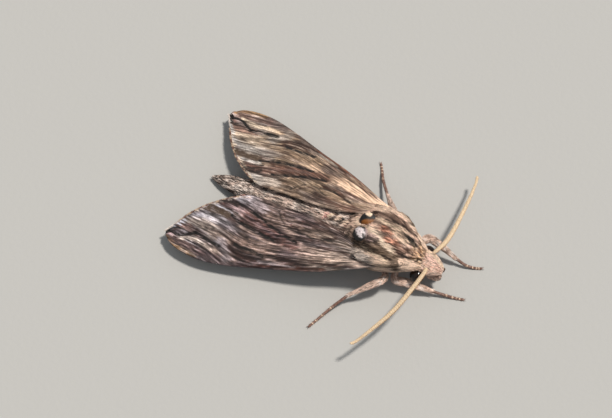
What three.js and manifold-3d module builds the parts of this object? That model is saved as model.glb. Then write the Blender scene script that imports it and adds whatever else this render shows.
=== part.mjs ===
// A hawk moth at rest with its wings closed back over the abdomen, life size, in millimetres.
// While it is built, +X is the moth's left, +Y runs back from the front of its face and the floor is z = 0.
// At the end the whole group is moved so that its origin is the middle of its footprint.
import * as THREE from "three";
import { mergeVertices } from "three/addons/utils/BufferGeometryUtils.js";
import Module from "manifold-3d";

const wasm = await Module();
wasm.setup();

// Driving dimensions
const BODY_LENGTH = 52.4; // from a line just before the face to the tip of the abdomen
const WING_THICKNESS = 0.55;
const GAP = 0.3; // between neighbouring pieces
const CRUMB = 0.02; // details smaller than this go when a shape has been cut
const WING_DROP = 1.15; // the hindwing lies this far under the forewing
const THORAX_RANGE = [7.3, 20.9];
const COLLAR_RANGE = [5.3, THORAX_RANGE[0] - GAP];
const ABDOMEN_CUTS = [THORAX_RANGE[1] + GAP, 30, 40, 47.5, BODY_LENGTH];
const SIDES = { left: 1, right: -1 };

// The trunk's section: distance back, half width, top and bottom. Below the floor it is cut flat.
const TRUNK = [
  [5.2, 2.6, 8.7, 3.7],
  [7.5, 4.0, 10.2, 3.8],
  [10, 5.2, 11.5, 2.6],
  [13, 6.0, 12.2, 1.2],
  [16.5, 6.4, 11.9, 1.2],
  [19.5, 5.5, 10.5, 1.2],
  [21.5, 4.7, 8.9, 1.0],
  [25, 4.6, 8.0, 0.9],
  [30, 4.3, 7.25, 0.7],
  [35, 3.8, 6.4, 0.4],
  [40, 3.1, 5.3, 0.1],
  [45, 2.3, 4.1, -0.15],
  [49, 1.6, 3.0, -0.12],
  [51.4, 0.85, 1.9, 0.15],
  [BODY_LENGTH, 0.3, 1.2, 0.45],
];
const HEAD = [
  [1.0, 0.8, 5.5, 4.2],
  [1.7, 1.5, 6.6, 3.9],
  [2.8, 2.15, 7.5, 3.75],
  [4.0, 2.6, 8.1, 3.6],
  [5.3, 2.75, 8.6, 3.7],
];
const SHOULDER = 0.08; // how much wider a section is above its middle than the plain oval
const TAIL_BEND = { from: 28, sideways: 1.1 }; // the abdomen's tip lies to the moth's left

// Forewing: points along the leading edge, and the point of the rear edge that each is paired with.
const COSTA = [
  [6.0, 12.4, 8.8],
  [8.2, 17.6, 6.9],
  [10.7, 23.2, 5.5],
  [12.8, 29.2, 4.6],
  [14.6, 35.0, 3.8],
  [16.4, 40.6, 3.3],
  [17.45, 45.6, 3.05],
  [17.5, 49.6, 3.0],
  [16.8, 52.9, 2.9],
  [15.3, 55.0, 2.8],
];
const HIND_MARGIN = [
  [4.4, 17.0, 9.8],
  [2.5, 21.4, 9.1],
  [1.6, 25.8, 8.5],
  [1.2, 30.4, 7.8],
  [1.3, 35.0, 7.0],
  [1.2, 39.4, 6.2],
  [1.6, 43.0, 5.5],
  [4.3, 47.6, 4.6],
  [8.2, 51.4, 3.8],
  [14.4, 55.3, 2.85],
];
const CAMBER = 0.7; // how far the middle of the forewing bulges upwards

const COLOURS = {
  tan: 0xc9a687,
  brown: 0x7a6250,
  grey: 0x8d7f74,
  cream: 0xd9b98c,
  dark: 0x1d1512,
  horn: 0x5a3a2a,
};

function material(colour, roughness = 0.85) {
  return new THREE.MeshStandardMaterial({ color: COLOURS[colour], roughness, metalness: 0 });
}

// ---- solids ----

function bare(geometry) {
  geometry.deleteAttribute("normal");
  geometry.deleteAttribute("uv");
  return mergeVertices(geometry, 1e-5);
}

// Moves every point of a closed three.js shape to place(x, y, z).
function shaped(geometry, place) {
  const closed = bare(geometry);
  const points = closed.attributes.position;
  for (let i = 0; i < points.count; i++) {
    const p = place(points.getX(i), points.getY(i), points.getZ(i));
    points.setXYZ(i, p.x, p.y, p.z);
  }
  return closed;
}

function solidOf(geometry) {
  return new wasm.Manifold(
    new wasm.Mesh({
      numProp: 3,
      vertProperties: geometry.attributes.position.array,
      triVerts: new Uint32Array(geometry.index.array),
    }),
  );
}

function geometryOf(solid) {
  const mesh = solid.getMesh();
  return new THREE.BufferGeometry()
    .setAttribute("position", new THREE.BufferAttribute(mesh.vertProperties, 3))
    .setIndex(new THREE.BufferAttribute(mesh.triVerts, 1));
}

// The shape less each of the others, without the crumbs that such a cut may leave.
function cut(geometry, ...others) {
  let solid = solidOf(geometry);
  for (const other of others) solid = solid.subtract(solidOf(other));
  const pieces = solid.decompose().sort((a, b) => b.volume() - a.volume());
  return geometryOf(pieces[0].simplify(CRUMB));
}

// A cubic through the rows of a table at distance t, for one column.
function along(rows, t, column) {
  let i = 0;
  while (i < rows.length - 2 && t > rows[i + 1][0]) i++;
  const [before, from, to, after] = [i - 1, i, i + 1, i + 2].map((k) => rows[Math.min(Math.max(k, 0), rows.length - 1)]);
  const span = to[0] - from[0];
  const s = Math.min(Math.max((t - from[0]) / span, 0), 1);
  const slopeFrom = ((to[column] - before[column]) / (to[0] - before[0])) * span;
  const slopeTo = ((after[column] - from[column]) / (after[0] - from[0])) * span;
  return (
    from[column] * (2 * s ** 3 - 3 * s ** 2 + 1) +
    to[column] * (3 * s ** 2 - 2 * s ** 3) +
    slopeFrom * (s ** 3 - 2 * s ** 2 + s) +
    slopeTo * (s ** 3 - s ** 2)
  );
}

function tailShift(t) {
  const share = Math.max(0, (t - TAIL_BEND.from) / (BODY_LENGTH - TAIL_BEND.from));
  return TAIL_BEND.sideways * share * share * (3 - 2 * share);
}

// A length of a body given by rows of sections, with flat ends and made larger all round by grow.
function lengthOf(rows, start, end, grow, steps, sides) {
  return shaped(new THREE.CylinderGeometry(1, 1, 1, sides, steps), (x, y, z) => {
    const t = start - grow + (y + 0.5) * (end - start + 2 * grow);
    const top = along(rows, t, 2) + grow;
    const bottom = along(rows, t, 3) - grow;
    const halfWidth = along(rows, t, 1) + grow;
    const high = (top + bottom) / 2 + (z * (top - bottom)) / 2;
    const wide = x * halfWidth * (1 + SHOULDER * z);
    return new THREE.Vector3(tailShift(t) + wide, t, grow ? high : Math.max(high, 0));
  });
}

const trunk = (start, end, grow = 0, steps = 6, sides = 24) => lengthOf(TRUNK, start, end, grow, steps, sides);

// A rod along a smooth curve through the points, as thick as radius(share) at each share of its length.
function rod(points, radius, { steps = 12, sides = 8, floor = -Infinity } = {}) {
  const curve = new THREE.CatmullRomCurve3(points.map((p) => new THREE.Vector3(...p)));
  const frames = curve.computeFrenetFrames(steps);
  return shaped(new THREE.CylinderGeometry(1, 1, 1, sides, steps), (x, y, z) => {
    const share = y + 0.5;
    const i = Math.round(share * steps);
    const r = radius(share);
    const p = curve
      .getPointAt(share)
      .addScaledVector(frames.normals[i], x * r)
      .addScaledVector(frames.binormals[i], -z * r);
    p.z = Math.max(p.z, floor);
    return p;
  });
}

function ellipsoid(centre, half, turn = [0, 0, 0], columns = 16, rows = 10) {
  const rotation = new THREE.Euler(...turn.map(THREE.MathUtils.degToRad));
  return shaped(new THREE.SphereGeometry(1, columns, rows), (x, y, z) =>
    new THREE.Vector3(x * half[0], y * half[1], z * half[2]).applyEuler(rotation).add(new THREE.Vector3(...centre)),
  );
}

// ---- wings ----

const costa = new THREE.CatmullRomCurve3(COSTA.map((p) => new THREE.Vector3(...p)));
const hindMargin = new THREE.CatmullRomCurve3(HIND_MARGIN.map((p) => new THREE.Vector3(...p)));

// The forewing's middle surface: u runs from base to tip, v from the leading to the rear edge.
function wingPoint(u, v) {
  const p = costa.getPoint(u).lerp(hindMargin.getPoint(u), v);
  p.z += CAMBER * 4 * v * (1 - v) * Math.sin(Math.PI * Math.min(u + 0.15, 1));
  return p;
}

// A plate on that surface. area turns the plate's own shares into u and v, drop lowers it.
function wing(side, area, drop, steps) {
  const at = (a, b) => {
    const [u, v] = area(a, b);
    return wingPoint(u, v);
  };
  const plate = shaped(new THREE.BoxGeometry(1, 1, 1, ...steps, 1), (x, y, z) => {
    const [a, b] = [x + 0.5, y + 0.5];
    const low = 0.002;
    const du = at(Math.min(a + low, 1), b).sub(at(Math.max(a - low, 0), b));
    const dv = at(a, Math.min(b + low, 1)).sub(at(a, Math.max(b - low, 0)));
    const up = du.cross(dv).normalize();
    if (up.z < 0) up.negate();
    const p = at(a, b).addScaledVector(up, z * WING_THICKNESS);
    p.z -= drop;
    return p;
  });
  return mirrored(plate, side);
}

// Turns a shape built on one side over to the other, and its faces with it.
function mirrored(geometry, side) {
  if (side > 0) return geometry;
  const points = geometry.attributes.position;
  for (let i = 0; i < points.count; i++) points.setX(i, -points.getX(i));
  const index = geometry.index.array;
  for (let i = 0; i < index.length; i += 3) [index[i + 1], index[i + 2]] = [index[i + 2], index[i + 1]];
  return geometry;
}

const wholeForewing = (a, b) => [a, b];
const hindwingArea = (a, b) => {
  const u = 0.1 + 0.66 * a;
  const front = 0.16 + 0.06 * a ** 4;
  const rear = 0.74 - 0.42 * a ** 5;
  return [u, front + (rear - front) * b];
};

// ---- pieces ----

const moth = new THREE.Group();

function add(name, geometry, colour, roughness) {
  const mesh = new THREE.Mesh(geometry, material(colour, roughness));
  mesh.name = name;
  moth.add(mesh);
}

// Trunk: thorax and four lengths of abdomen
add("thorax", trunk(...THORAX_RANGE, 0, 10, 28), "tan");
["abdomen_front", "abdomen_middle", "abdomen_rear", "abdomen_tip"].forEach((name, i) => {
  const start = ABDOMEN_CUTS[i];
  const end = ABDOMEN_CUTS[i + 1] - (i < 3 ? GAP : 0);
  add(name, trunk(start, end, 0, 5, 20), "grey");
});
const aroundThorax = trunk(COLLAR_RANGE[0], 23, GAP, 12, 28);

// Collar and head, with eyes sunk in their sides
const EYE = { centre: [2.7, 5.3, 4.5], radius: 1.5 };
const eyeCentre = (side) => [side * EYE.centre[0], EYE.centre[1], EYE.centre[2]];
const eyeHole = (side) => {
  const r = EYE.radius + GAP;
  return ellipsoid(eyeCentre(side), [r, r, r], [0, 0, 0], 16, 12);
};
const eyeHoles = [eyeHole(1), eyeHole(-1)];
const aroundHead = lengthOf(HEAD, HEAD[0][0], COLLAR_RANGE[0], GAP, 6, 20);
const head = cut(lengthOf(HEAD, HEAD[0][0], COLLAR_RANGE[0] - GAP, 0, 6, 20), ...eyeHoles);
add("head", head, "tan");
add("collar", cut(trunk(...COLLAR_RANGE, 0, 3), ...eyeHoles), "tan");

// Coiled tongue: a flat spiral under the head, between the palps
const TONGUE = { centre: [0, 3.0, 1.6], thickness: 0.5, turns: 2, inner: 0.3, pitch: 0.5 };
function tonguePoints() {
  const points = [];
  const count = Math.round(TONGUE.turns * 12);
  for (let i = 0; i <= count; i++) {
    const angle = (i / 12) * 2 * Math.PI;
    const r = TONGUE.inner + (TONGUE.pitch * angle) / (2 * Math.PI);
    points.push([0, TONGUE.centre[1] - r * Math.sin(angle + 0.9), TONGUE.centre[2] + r * Math.cos(angle + 0.9)]);
  }
  return points;
}

const PALP = [
  [1.15, 3.8, 2.95],
  [1.1, 2.4, 2.85],
  [1.0, 1.4, 3.25],
  [0.85, 1.05, 4.3],
];
const ANTENNAE = {
  left: [
    [1.75, 3.9, 7.5],
    [2.9, 3.3, 8.0],
    [4.6, 2.65, 8.0],
    [8.3, 2.3, 7.2],
    [15.6, 2.3, 5.9],
    [20.6, 2.6, 4.8],
    [22.5, 3.0, 4.5],
  ],
  right: [
    [-1.75, 3.9, 7.5],
    [-2.9, 3.8, 8.0],
    [-6.3, 4.5, 7.6],
    [-12.4, 6.1, 7.0],
    [-17.4, 8.3, 6.5],
    [-20.9, 10.1, 6.1],
    [-22.2, 11.0, 6.3],
  ],
};
const antennaRadius = (share) => 0.3 + 0.17 * Math.sin(Math.PI * Math.min(share * 1.25, 1)) - 0.03 * share;

// Legs as the joints' places: hip, knee, ankle and the tips of the foot, on the moth's left and right
const LEGS = {
  fore: {
    left: { limb: [[2.6, 9.0, 3.2], [4.6, 7.4, 4.1], [5.6, 6.0, 4.6], [5.4, 3.0, 3.6], [5.1, 0.4, 2.0]], foot: [[5.1, -0.1, 1.7], [5.0, -2.2, 0.8], [5.5, -4.2, 0.2], [6.0, -5.4, 0.2]] },
    right: { limb: [[2.6, 9.9, 2.6], [4.5, 9.1, 2.7], [4.2, 6.9, 2.4], [3.8, 4.2, 2.1], [3.35, 1.9, 1.5]], foot: [[3.25, 1.5, 1.35], [2.7, -1.0, 0.7], [2.2, -3.2, 0.2], [1.8, -4.8, 0.2]] },
  },
  middle: {
    left: { limb: [[3.2, 12.5, 1.9], [6.4, 13.4, 4.1], [9.0, 15.9, 4.2], [11.4, 17.8, 2.9]], foot: [[11.7, 18.1, 2.7], [15.1, 20.5, 1.2], [17.5, 21.8, 0.2], [18.9, 22.7, 0.2]] },
    right: { limb: [[3.2, 12.0, 1.9], [6.0, 11.0, 4.2], [8.6, 13.0, 4.0], [11.4, 16.0, 2.6]], foot: [[11.7, 16.3, 2.4], [14.6, 18.2, 1.1], [18.2, 20.0, 0.2], [20.3, 20.9, 0.2]] },
  },
  hind: {
    left: { limb: [[2.8, 16.6, 1.8], [5.4, 17.6, 3.2], [7.6, 20.6, 3.1], [8.8, 24.6, 1.6]], foot: [[8.9, 25.0, 1.4], [9.3, 28.0, 0.6], [9.8, 31.4, 0.2], [10.1, 33.4, 0.2]] },
    right: { limb: [[2.8, 16.6, 1.8], [5.4, 17.8, 3.2], [7.4, 21.0, 3.1], [8.2, 25.0, 1.6]], foot: [[8.3, 25.4, 1.4], [8.6, 28.4, 0.6], [9.0, 31.8, 0.2], [9.6, 33.7, 0.2]] },
  },
};
const LIMB_RADIUS = { fore: 0.86, middle: 0.75, hind: 0.68 };
const FOOT_RADIUS = 0.27;

// Round plates of scales over the wing roots, and the pair of domed tufts at the back of the thorax
const TEGULA = { centre: [4.75, 12.4, 10.0], half: [1.5, 5.0, 0.95], turn: [-3, 33, -13] };
const TUFT = { centre: [1.75, 18.1, 10.55], half: [1.62, 1.75, 1.3], turn: [-22, 14, 0] };

function sided({ centre, half, turn }, side, grow = 0) {
  const shape = ellipsoid(
    [side * centre[0], centre[1], centre[2]],
    half.map((h) => h + grow),
    [turn[0], side * turn[1], side * turn[2]],
  );
  return shape;
}

const palps = {};
for (const [name, side] of Object.entries(SIDES)) {
  const points = PALP.map(([x, y, z]) => [side * x, y, z]);
  palps[name] = rod(points, (s) => 0.34 + 0.24 * Math.sin(Math.PI * Math.min(s + 0.18, 1)), { steps: 8 });
}

for (const [name, side] of Object.entries(SIDES)) {
  add("eye_" + name, ellipsoid(eyeCentre(side), [EYE.radius, EYE.radius, EYE.radius], [0, 0, 0], 16, 12), "dark", 0.2);
  add("palp_" + name, cut(palps[name], aroundHead, ...eyeHoles), "tan");
  add("antenna_" + name, cut(rod(ANTENNAE[name], antennaRadius, { steps: 20, sides: 7 }), aroundHead, ...eyeHoles), "cream", 0.6);
  add("tegula_" + name, cut(sided(TEGULA, side), aroundThorax), "brown");
  add("tuft_" + name, cut(sided(TUFT, side), aroundThorax, halfSpace(-side)), "dark");
  const nearby = [aroundThorax, sided(TEGULA, side, GAP), sided(TUFT, side, GAP)];
  add("forewing_" + name, cut(wing(side, wholeForewing, 0, [22, 7]), ...nearby), "brown");
  add("hindwing_" + name, cut(wing(side, hindwingArea, WING_DROP, [13, 4]), ...nearby), "grey");
  for (const [pair, sides] of Object.entries(LEGS)) {
    const limb = sides[name].limb.map(([x, y, z]) => [side * x, y, z]);
    const foot = sides[name].foot.map(([x, y, z]) => [side * x, y, z]);
    const width = LIMB_RADIUS[pair];
    const limbRadius = (s) => width * (0.62 + 0.5 * Math.sin(Math.PI * Math.min(s + 0.1, 1)));
    add(`leg_${pair}_${name}`, cut(rod(limb, limbRadius, { steps: 11 }), aroundThorax, ...eyeHoles), "tan");
    const footRadius = (s) => FOOT_RADIUS + 0.08 * (1 - s);
    add(`foot_${pair}_${name}`, cut(rod(foot, footRadius, { steps: 8, sides: 6, floor: 0 }), rod(limb, (s) => limbRadius(s) + GAP, { steps: 11 })), "horn");
  }
}
add("tongue", rod(tonguePoints(), () => TONGUE.thickness / 2, { steps: 30, sides: 5 }), "horn", 0.5);

// Everything past the middle plane on one side, which keeps the two tufts apart
function halfSpace(side) {
  const size = 20;
  const block = new THREE.BoxGeometry(size, size, size);
  return shaped(block, (x, y, z) => new THREE.Vector3(x + side * (size / 2 - GAP / 2), y + TUFT.centre[1], z + TUFT.centre[2]));
}

// The origin is on the floor, in the middle of the footprint
const footprint = new THREE.Box3().setFromObject(moth);
const middle = footprint.getCenter(new THREE.Vector3());
moth.position.set(-middle.x, -middle.y, -footprint.min.z);

export default moth;
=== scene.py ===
import itertools
import math

import bpy
import numpy as np
from mathutils import Matrix, Vector


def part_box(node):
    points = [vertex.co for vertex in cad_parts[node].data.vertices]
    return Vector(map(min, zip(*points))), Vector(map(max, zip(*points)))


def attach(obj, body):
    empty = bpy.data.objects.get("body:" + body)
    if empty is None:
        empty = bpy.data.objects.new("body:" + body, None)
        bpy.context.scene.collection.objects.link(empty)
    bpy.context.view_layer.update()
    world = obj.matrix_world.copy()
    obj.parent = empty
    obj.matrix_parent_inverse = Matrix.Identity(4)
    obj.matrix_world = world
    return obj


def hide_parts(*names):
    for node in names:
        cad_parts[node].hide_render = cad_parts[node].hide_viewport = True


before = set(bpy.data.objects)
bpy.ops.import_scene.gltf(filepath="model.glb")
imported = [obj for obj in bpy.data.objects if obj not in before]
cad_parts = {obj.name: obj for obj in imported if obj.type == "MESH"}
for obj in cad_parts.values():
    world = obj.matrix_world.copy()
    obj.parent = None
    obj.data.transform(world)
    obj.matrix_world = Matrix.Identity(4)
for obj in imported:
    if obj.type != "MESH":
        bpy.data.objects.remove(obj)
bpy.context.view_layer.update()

MM = 0.001
TURN = 2 * math.pi


def box_centre(node):
    low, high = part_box(node)
    return (np.array(low) + np.array(high)) / 2


EYE_CENTRE = np.array([2.7, 5.3, 4.5])
EYE_RADIUS = 1.5
ORIGIN = (box_centre("eye_left") + box_centre("eye_right")) / 2 - EYE_CENTRE * [0, MM, MM]


def place(points):
    return np.asarray(points, float) * MM + ORIGIN


# ---- numbers, noise and curves ----


def clamp(value, low=0.0, high=1.0):
    return np.clip(value, low, high)


def ease(value, start, end):
    share = clamp((value - start) / (end - start))
    return share * share * (3 - 2 * share)


def unit(vectors):
    return vectors / np.maximum(np.linalg.norm(vectors, axis=-1, keepdims=True), 1e-12)


def lattice(i, j, k, seed):
    n = (i * 374761393 + j * 668265263 + k * 2147483647 + seed * 1274126177) & 0xFFFFFFFF
    n = ((n ^ (n >> 13)) * 1274126177) & 0xFFFFFFFF
    return ((n ^ (n >> 16)) & 0xFFFF) / 65535.0


def noise(points, seed):
    """Smooth noise from 0 to 1 with features about one unit across."""
    points = np.asarray(points, float)
    whole = np.floor(points).astype(np.int64)
    part = points - whole
    part = part * part * (3 - 2 * part)
    total = 0
    for corner in itertools.product((0, 1), repeat=3):
        weight = 1
        for axis, step in enumerate(corner):
            weight = weight * (part[..., axis] if step else 1 - part[..., axis])
        total = total + weight * lattice(*(whole[..., axis] + corner[axis] for axis in range(3)), seed)
    return total


def surface_noise(a, b, seed):
    """Noise over two measures of a surface."""
    return noise(np.stack([a, b, 0 * a], -1), seed)


def mixed(colour, other, share):
    share = np.asarray(share)[..., None]
    return colour * (1 - share) + np.asarray(other) * share


def within(colours, top=0.93):
    """Colours scaled down where they are too bright, so that their hue stays."""
    colours = np.maximum(colours, 0)
    return colours * np.minimum(1, top / np.maximum(colours.max(-1, keepdims=True), 1e-6))


def along(rows, t):
    """The columns of a table of sections at distance t, on smooth curves."""
    rows = np.asarray(rows, float)
    t = np.asarray(t, float)
    at = rows[:, 0]
    i = clamp(np.searchsorted(at, t, side="right") - 1, 0, len(rows) - 2).astype(int)
    before, after = np.maximum(i - 1, 0), np.minimum(i + 2, len(rows) - 1)
    span = at[i + 1] - at[i]
    s = clamp((t - at[i]) / span)[..., None]
    slope_from = (rows[i + 1] - rows[before]) / (at[i + 1] - at[before])[..., None] * span[..., None]
    slope_to = (rows[after] - rows[i]) / (at[after] - at[i])[..., None] * span[..., None]
    value = (
        rows[i] * (2 * s**3 - 3 * s**2 + 1)
        + rows[i + 1] * (3 * s**2 - 2 * s**3)
        + slope_from * (s**3 - 2 * s**2 + s)
        + slope_to * (s**3 - s**2)
    )
    return value[..., 1:]


def spline(points, share):
    """Points on a smooth curve through the given ones, for shares from 0 to 1."""
    points = np.asarray(points, float)
    padded = np.vstack([2 * points[0] - points[1], points, 2 * points[-1] - points[-2]])
    s = clamp(np.asarray(share, float)) * (len(points) - 1)
    i = np.minimum(s.astype(int), len(points) - 2)
    f = (s - i)[..., None]
    a, b, c, d = (padded[i + k] for k in range(4))
    return 0.5 * (2 * b + (c - a) * f + (2 * a - 5 * b + 4 * c - d) * f**2 + (3 * b - a - 3 * c + d) * f**3)


def near_line(points, line, width, soft):
    """1 on a line through the plane, 0 beyond its half width, with a soft edge."""
    best = np.full(len(points), 1e9)
    line = np.asarray(line, float)
    widths = np.broadcast_to(np.asarray(width, float), (len(line),))
    for k in range(len(line) - 1):
        a, b = line[k], line[k + 1]
        run = b - a
        s = clamp(((points - a) @ run) / max(run @ run, 1e-9))
        half = (widths[k] * (1 - s) + widths[k + 1] * s) / 2
        gap = np.linalg.norm(points - (a + s[:, None] * run), axis=1) - half
        best = np.minimum(best, gap / np.maximum(half, 0.05))
    return 1 - ease(best, -soft, soft)


# ---- meshes and materials ----


def put(name, data):
    """A new object in the scene."""
    piece = bpy.data.objects.new(name, data)
    bpy.context.scene.collection.objects.link(piece)
    return piece


def add_mesh(name, points, faces):
    mesh = bpy.data.meshes.new(name)
    mesh.from_pydata(place(points).tolist(), [], faces if isinstance(faces, list) else faces.tolist())
    mesh.polygons.foreach_set("use_smooth", [True] * len(mesh.polygons))
    mesh.update()
    return put(name, mesh)


def paint(piece, colours):
    layer = piece.data.color_attributes.new("tint", "FLOAT_COLOR", "POINT")
    flat = np.ones((len(piece.data.vertices), 4), np.float32)
    flat[:, :3] = within(colours, 1.0)
    layer.data.foreach_set("color", flat.ravel())


def unwrap(piece, uv, name):
    layer = piece.data.uv_layers.new(name=name)
    corners = np.zeros(len(piece.data.loops), np.int32)
    piece.data.loops.foreach_get("vertex_index", corners)
    layer.data.foreach_set("uv", np.asarray(uv, np.float32)[corners].ravel())


def vertices_of(piece):
    flat = np.zeros(len(piece.data.vertices) * 3, np.float32)
    piece.data.vertices.foreach_get("co", flat)
    return (flat.reshape(-1, 3).astype(float) - ORIGIN) / MM


def grid_faces(rows, columns, wrap=False):
    i, j = np.meshgrid(np.arange(rows - 1), np.arange(columns if wrap else columns - 1), indexing="ij")
    k = (j + 1) % columns
    quads = np.stack([i * columns + j, i * columns + k, (i + 1) * columns + k, (i + 1) * columns + j], -1)
    return quads.reshape(-1, 4)


def ring_grid(share, sides):
    """For rings of points one after another: each point's share of the rod's length and angle round it."""
    turn = np.linspace(0, TURN, sides, endpoint=False)
    share, turn = np.meshgrid(share, turn, indexing="ij")
    return share.ravel(), turn.ravel()


def closed_rod(shell, sides, ends):
    """Points and faces of a rod made of rings, closed by a point at each end."""
    count = len(shell) // sides
    faces = grid_faces(count, sides, wrap=True).tolist()
    first, last = len(shell), len(shell) + 1
    for j in range(sides):
        k = (j + 1) % sides
        faces.append([first, k, j])
        faces.append([last, first - sides + j, first - sides + k])
    return np.vstack([shell, ends]), faces


def patch_at(a, b):
    """A place in a piece's baked picture, from two shares, clear of its edges."""
    return np.stack([0.02 + 0.96 * a, 0.02 + 0.96 * b], -1)


def finish_piece(piece, material, replaces):
    piece.data.materials.clear()
    piece.data.materials.append(material)
    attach(piece, "root")
    if replaces:
        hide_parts(*replaces)


class Nodes:
    """A material's nodes, with short calls for the few kinds used here."""

    def __init__(self, name, **sockets):
        self.material = bpy.data.materials.new(name)
        self.material.use_nodes = True
        self.tree = self.material.node_tree
        self.shader = self.tree.nodes["Principled BSDF"]
        self.set(self.shader, **sockets)

    def set(self, node, **sockets):
        for socket, value in sockets.items():
            target = node.inputs[socket.replace("_", " ")]
            if isinstance(value, bpy.types.NodeSocket):
                self.tree.links.new(value, target)
            else:
                target.default_value = value

    def add(self, kind, **sockets):
        node = self.tree.nodes.new("ShaderNode" + kind)
        self.set(node, **sockets)
        return node

    def place(self):
        return self.add("TexCoord").outputs["Object"]

    def uv(self, name, scale):
        node = self.add("UVMap")
        node.uv_map = name
        return self.add("Mapping", Vector=node.outputs["UV"], Scale=scale).outputs["Vector"]

    def noise(self, vector, scale, detail=2.0, roughness=0.5):
        node = self.add("TexNoise", Vector=vector, Scale=scale, Detail=detail, Roughness=roughness)
        return node.outputs["Fac"]

    def spread(self, value, low, high, to_low, to_high):
        node = self.add("MapRange", Value=value)
        for index, number in enumerate((low, high, to_low, to_high), 1):
            node.inputs[index].default_value = number
        return node.outputs["Result"]

    def math(self, operation, a, b):
        node = self.add("Math")
        node.operation = operation
        for index, value in enumerate((a, b)):
            if isinstance(value, bpy.types.NodeSocket):
                self.tree.links.new(value, node.inputs[index])
            else:
                node.inputs[index].default_value = value
        return node.outputs["Value"]

    def show_tint(self, shade):
        """The piece's painted tint as its colour, made lighter or darker by a number around 1."""
        tint = self.add("Attribute")
        tint.attribute_name = "tint"
        node = self.add("VectorMath")
        node.operation = "SCALE"
        self.tree.links.new(tint.outputs["Color"], node.inputs[0])
        self.tree.links.new(shade, node.inputs["Scale"])
        self.set(self.shader, Base_Color=node.outputs["Vector"])

    def bump(self, height, distance, strength=1.0):
        bump = self.add("Bump", Height=height, Distance=distance, Strength=strength)
        self.set(self.shader, Normal=bump.outputs["Normal"])


class Growth:
    """A geometry tree with named sizes, and short calls for its nodes."""

    def __init__(self, name, sizes):
        self.tree = bpy.data.node_groups.new(name, "GeometryNodeTree")
        sockets = self.tree.interface
        sockets.new_socket("Geometry", in_out="INPUT", socket_type="NodeSocketGeometry")
        for label, value in sizes.items():
            kind = "NodeSocketInt" if isinstance(value, int) else "NodeSocketFloat"
            sockets.new_socket(label, in_out="INPUT", socket_type=kind).default_value = value
        sockets.new_socket("Geometry", in_out="OUTPUT", socket_type="NodeSocketGeometry")
        self.given = self.tree.nodes.new("NodeGroupInput").outputs

    def add(self, kind, sockets, out=0, **settings):
        node = self.tree.nodes.new(kind)
        for setting, value in settings.items():
            setattr(node, setting, value)
        for socket, value in sockets.items():
            if isinstance(value, bpy.types.NodeSocket):
                self.tree.links.new(value, node.inputs[socket])
            else:
                node.inputs[socket].default_value = value
        return node.outputs[out]

    def math(self, operation, a, b):
        return self.add("ShaderNodeMath", {0: a, 1: b}, operation=operation)

    def attribute(self, name, kind):
        return self.add("GeometryNodeInputNamedAttribute", {"Name": name}, data_type=kind)

    def end(self, geometry, material):
        real = self.add("GeometryNodeRealizeInstances", {0: geometry})
        clad = self.add("GeometryNodeSetMaterial", {"Geometry": real, "Material": material})
        self.tree.links.new(clad, self.tree.nodes.new("NodeGroupOutput").inputs[0])

    def grow(self, name, carrier, sizes):
        """A plain mesh of what the tree makes on the carrier, with these sizes."""
        modifier = carrier.modifiers.new(name, "NODES")
        modifier.node_group = self.tree
        for item in self.tree.interface.items_tree:
            if item.in_out == "INPUT" and item.name in sizes:
                modifier[item.identifier] = sizes[item.name]
        evaluated = carrier.evaluated_get(bpy.context.evaluated_depsgraph_get())
        piece = put(name, bpy.data.meshes.new_from_object(evaluated))
        carrier.modifiers.remove(modifier)
        return piece


# ---- the camera, the floor and the light ----

FLOOR_REACH = 900
LOOK = {"azimuth": -64.85, "elevation": 65.0, "distance": 400.0, "aim": (3.0, 32.3, 0.0), "lens": 115.3}


def set_up_studio():
    camera = put("camera", bpy.data.cameras.new("camera"))
    camera.data.lens = LOOK["lens"]
    camera.data.sensor_width = 36
    camera.data.clip_start = 0.01
    azimuth, elevation = math.radians(LOOK["azimuth"]), math.radians(LOOK["elevation"])
    level = math.cos(elevation)
    back = Vector((math.sin(azimuth) * level, -math.cos(azimuth) * level, math.sin(elevation)))
    camera.location = Vector(place(LOOK["aim"])) + back * LOOK["distance"] * MM
    camera.rotation_euler = (-back).to_track_quat("-Z", "Y").to_euler()
    bpy.context.scene.camera = camera

    corners = np.array([[-1, -1, 0], [1, -1, 0], [1, 1, 0], [-1, 1, 0]])
    floor = add_mesh("floor", corners * FLOOR_REACH, [[0, 1, 2, 3]])
    pale = Nodes("pale floor", Roughness=0.9, Base_Color=(0.4, 0.388, 0.368, 1))
    grain = pale.noise(pale.place(), 900, 3)
    pale.bump(grain, 0.00005)
    floor.data.materials.append(pale.material)

    key = put("key", bpy.data.lights.new("key", "SUN"))
    key.data.energy = 3.7
    key.data.angle = 0.14
    key.data.color = (1.0, 0.965, 0.91)
    key.rotation_euler = (-Vector((0.32, -0.3, 1.0))).to_track_quat("-Z", "Y").to_euler()
    world = bpy.data.worlds.new("soft light")
    world.use_nodes = True
    sky = world.node_tree.nodes["Background"].inputs
    sky["Color"].default_value = (0.86, 0.93, 1.0, 1)
    sky["Strength"].default_value = 0.42
    bpy.context.scene.world = world
    bpy.context.scene.view_settings.view_transform = "Standard"


# ---- body ----

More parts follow.
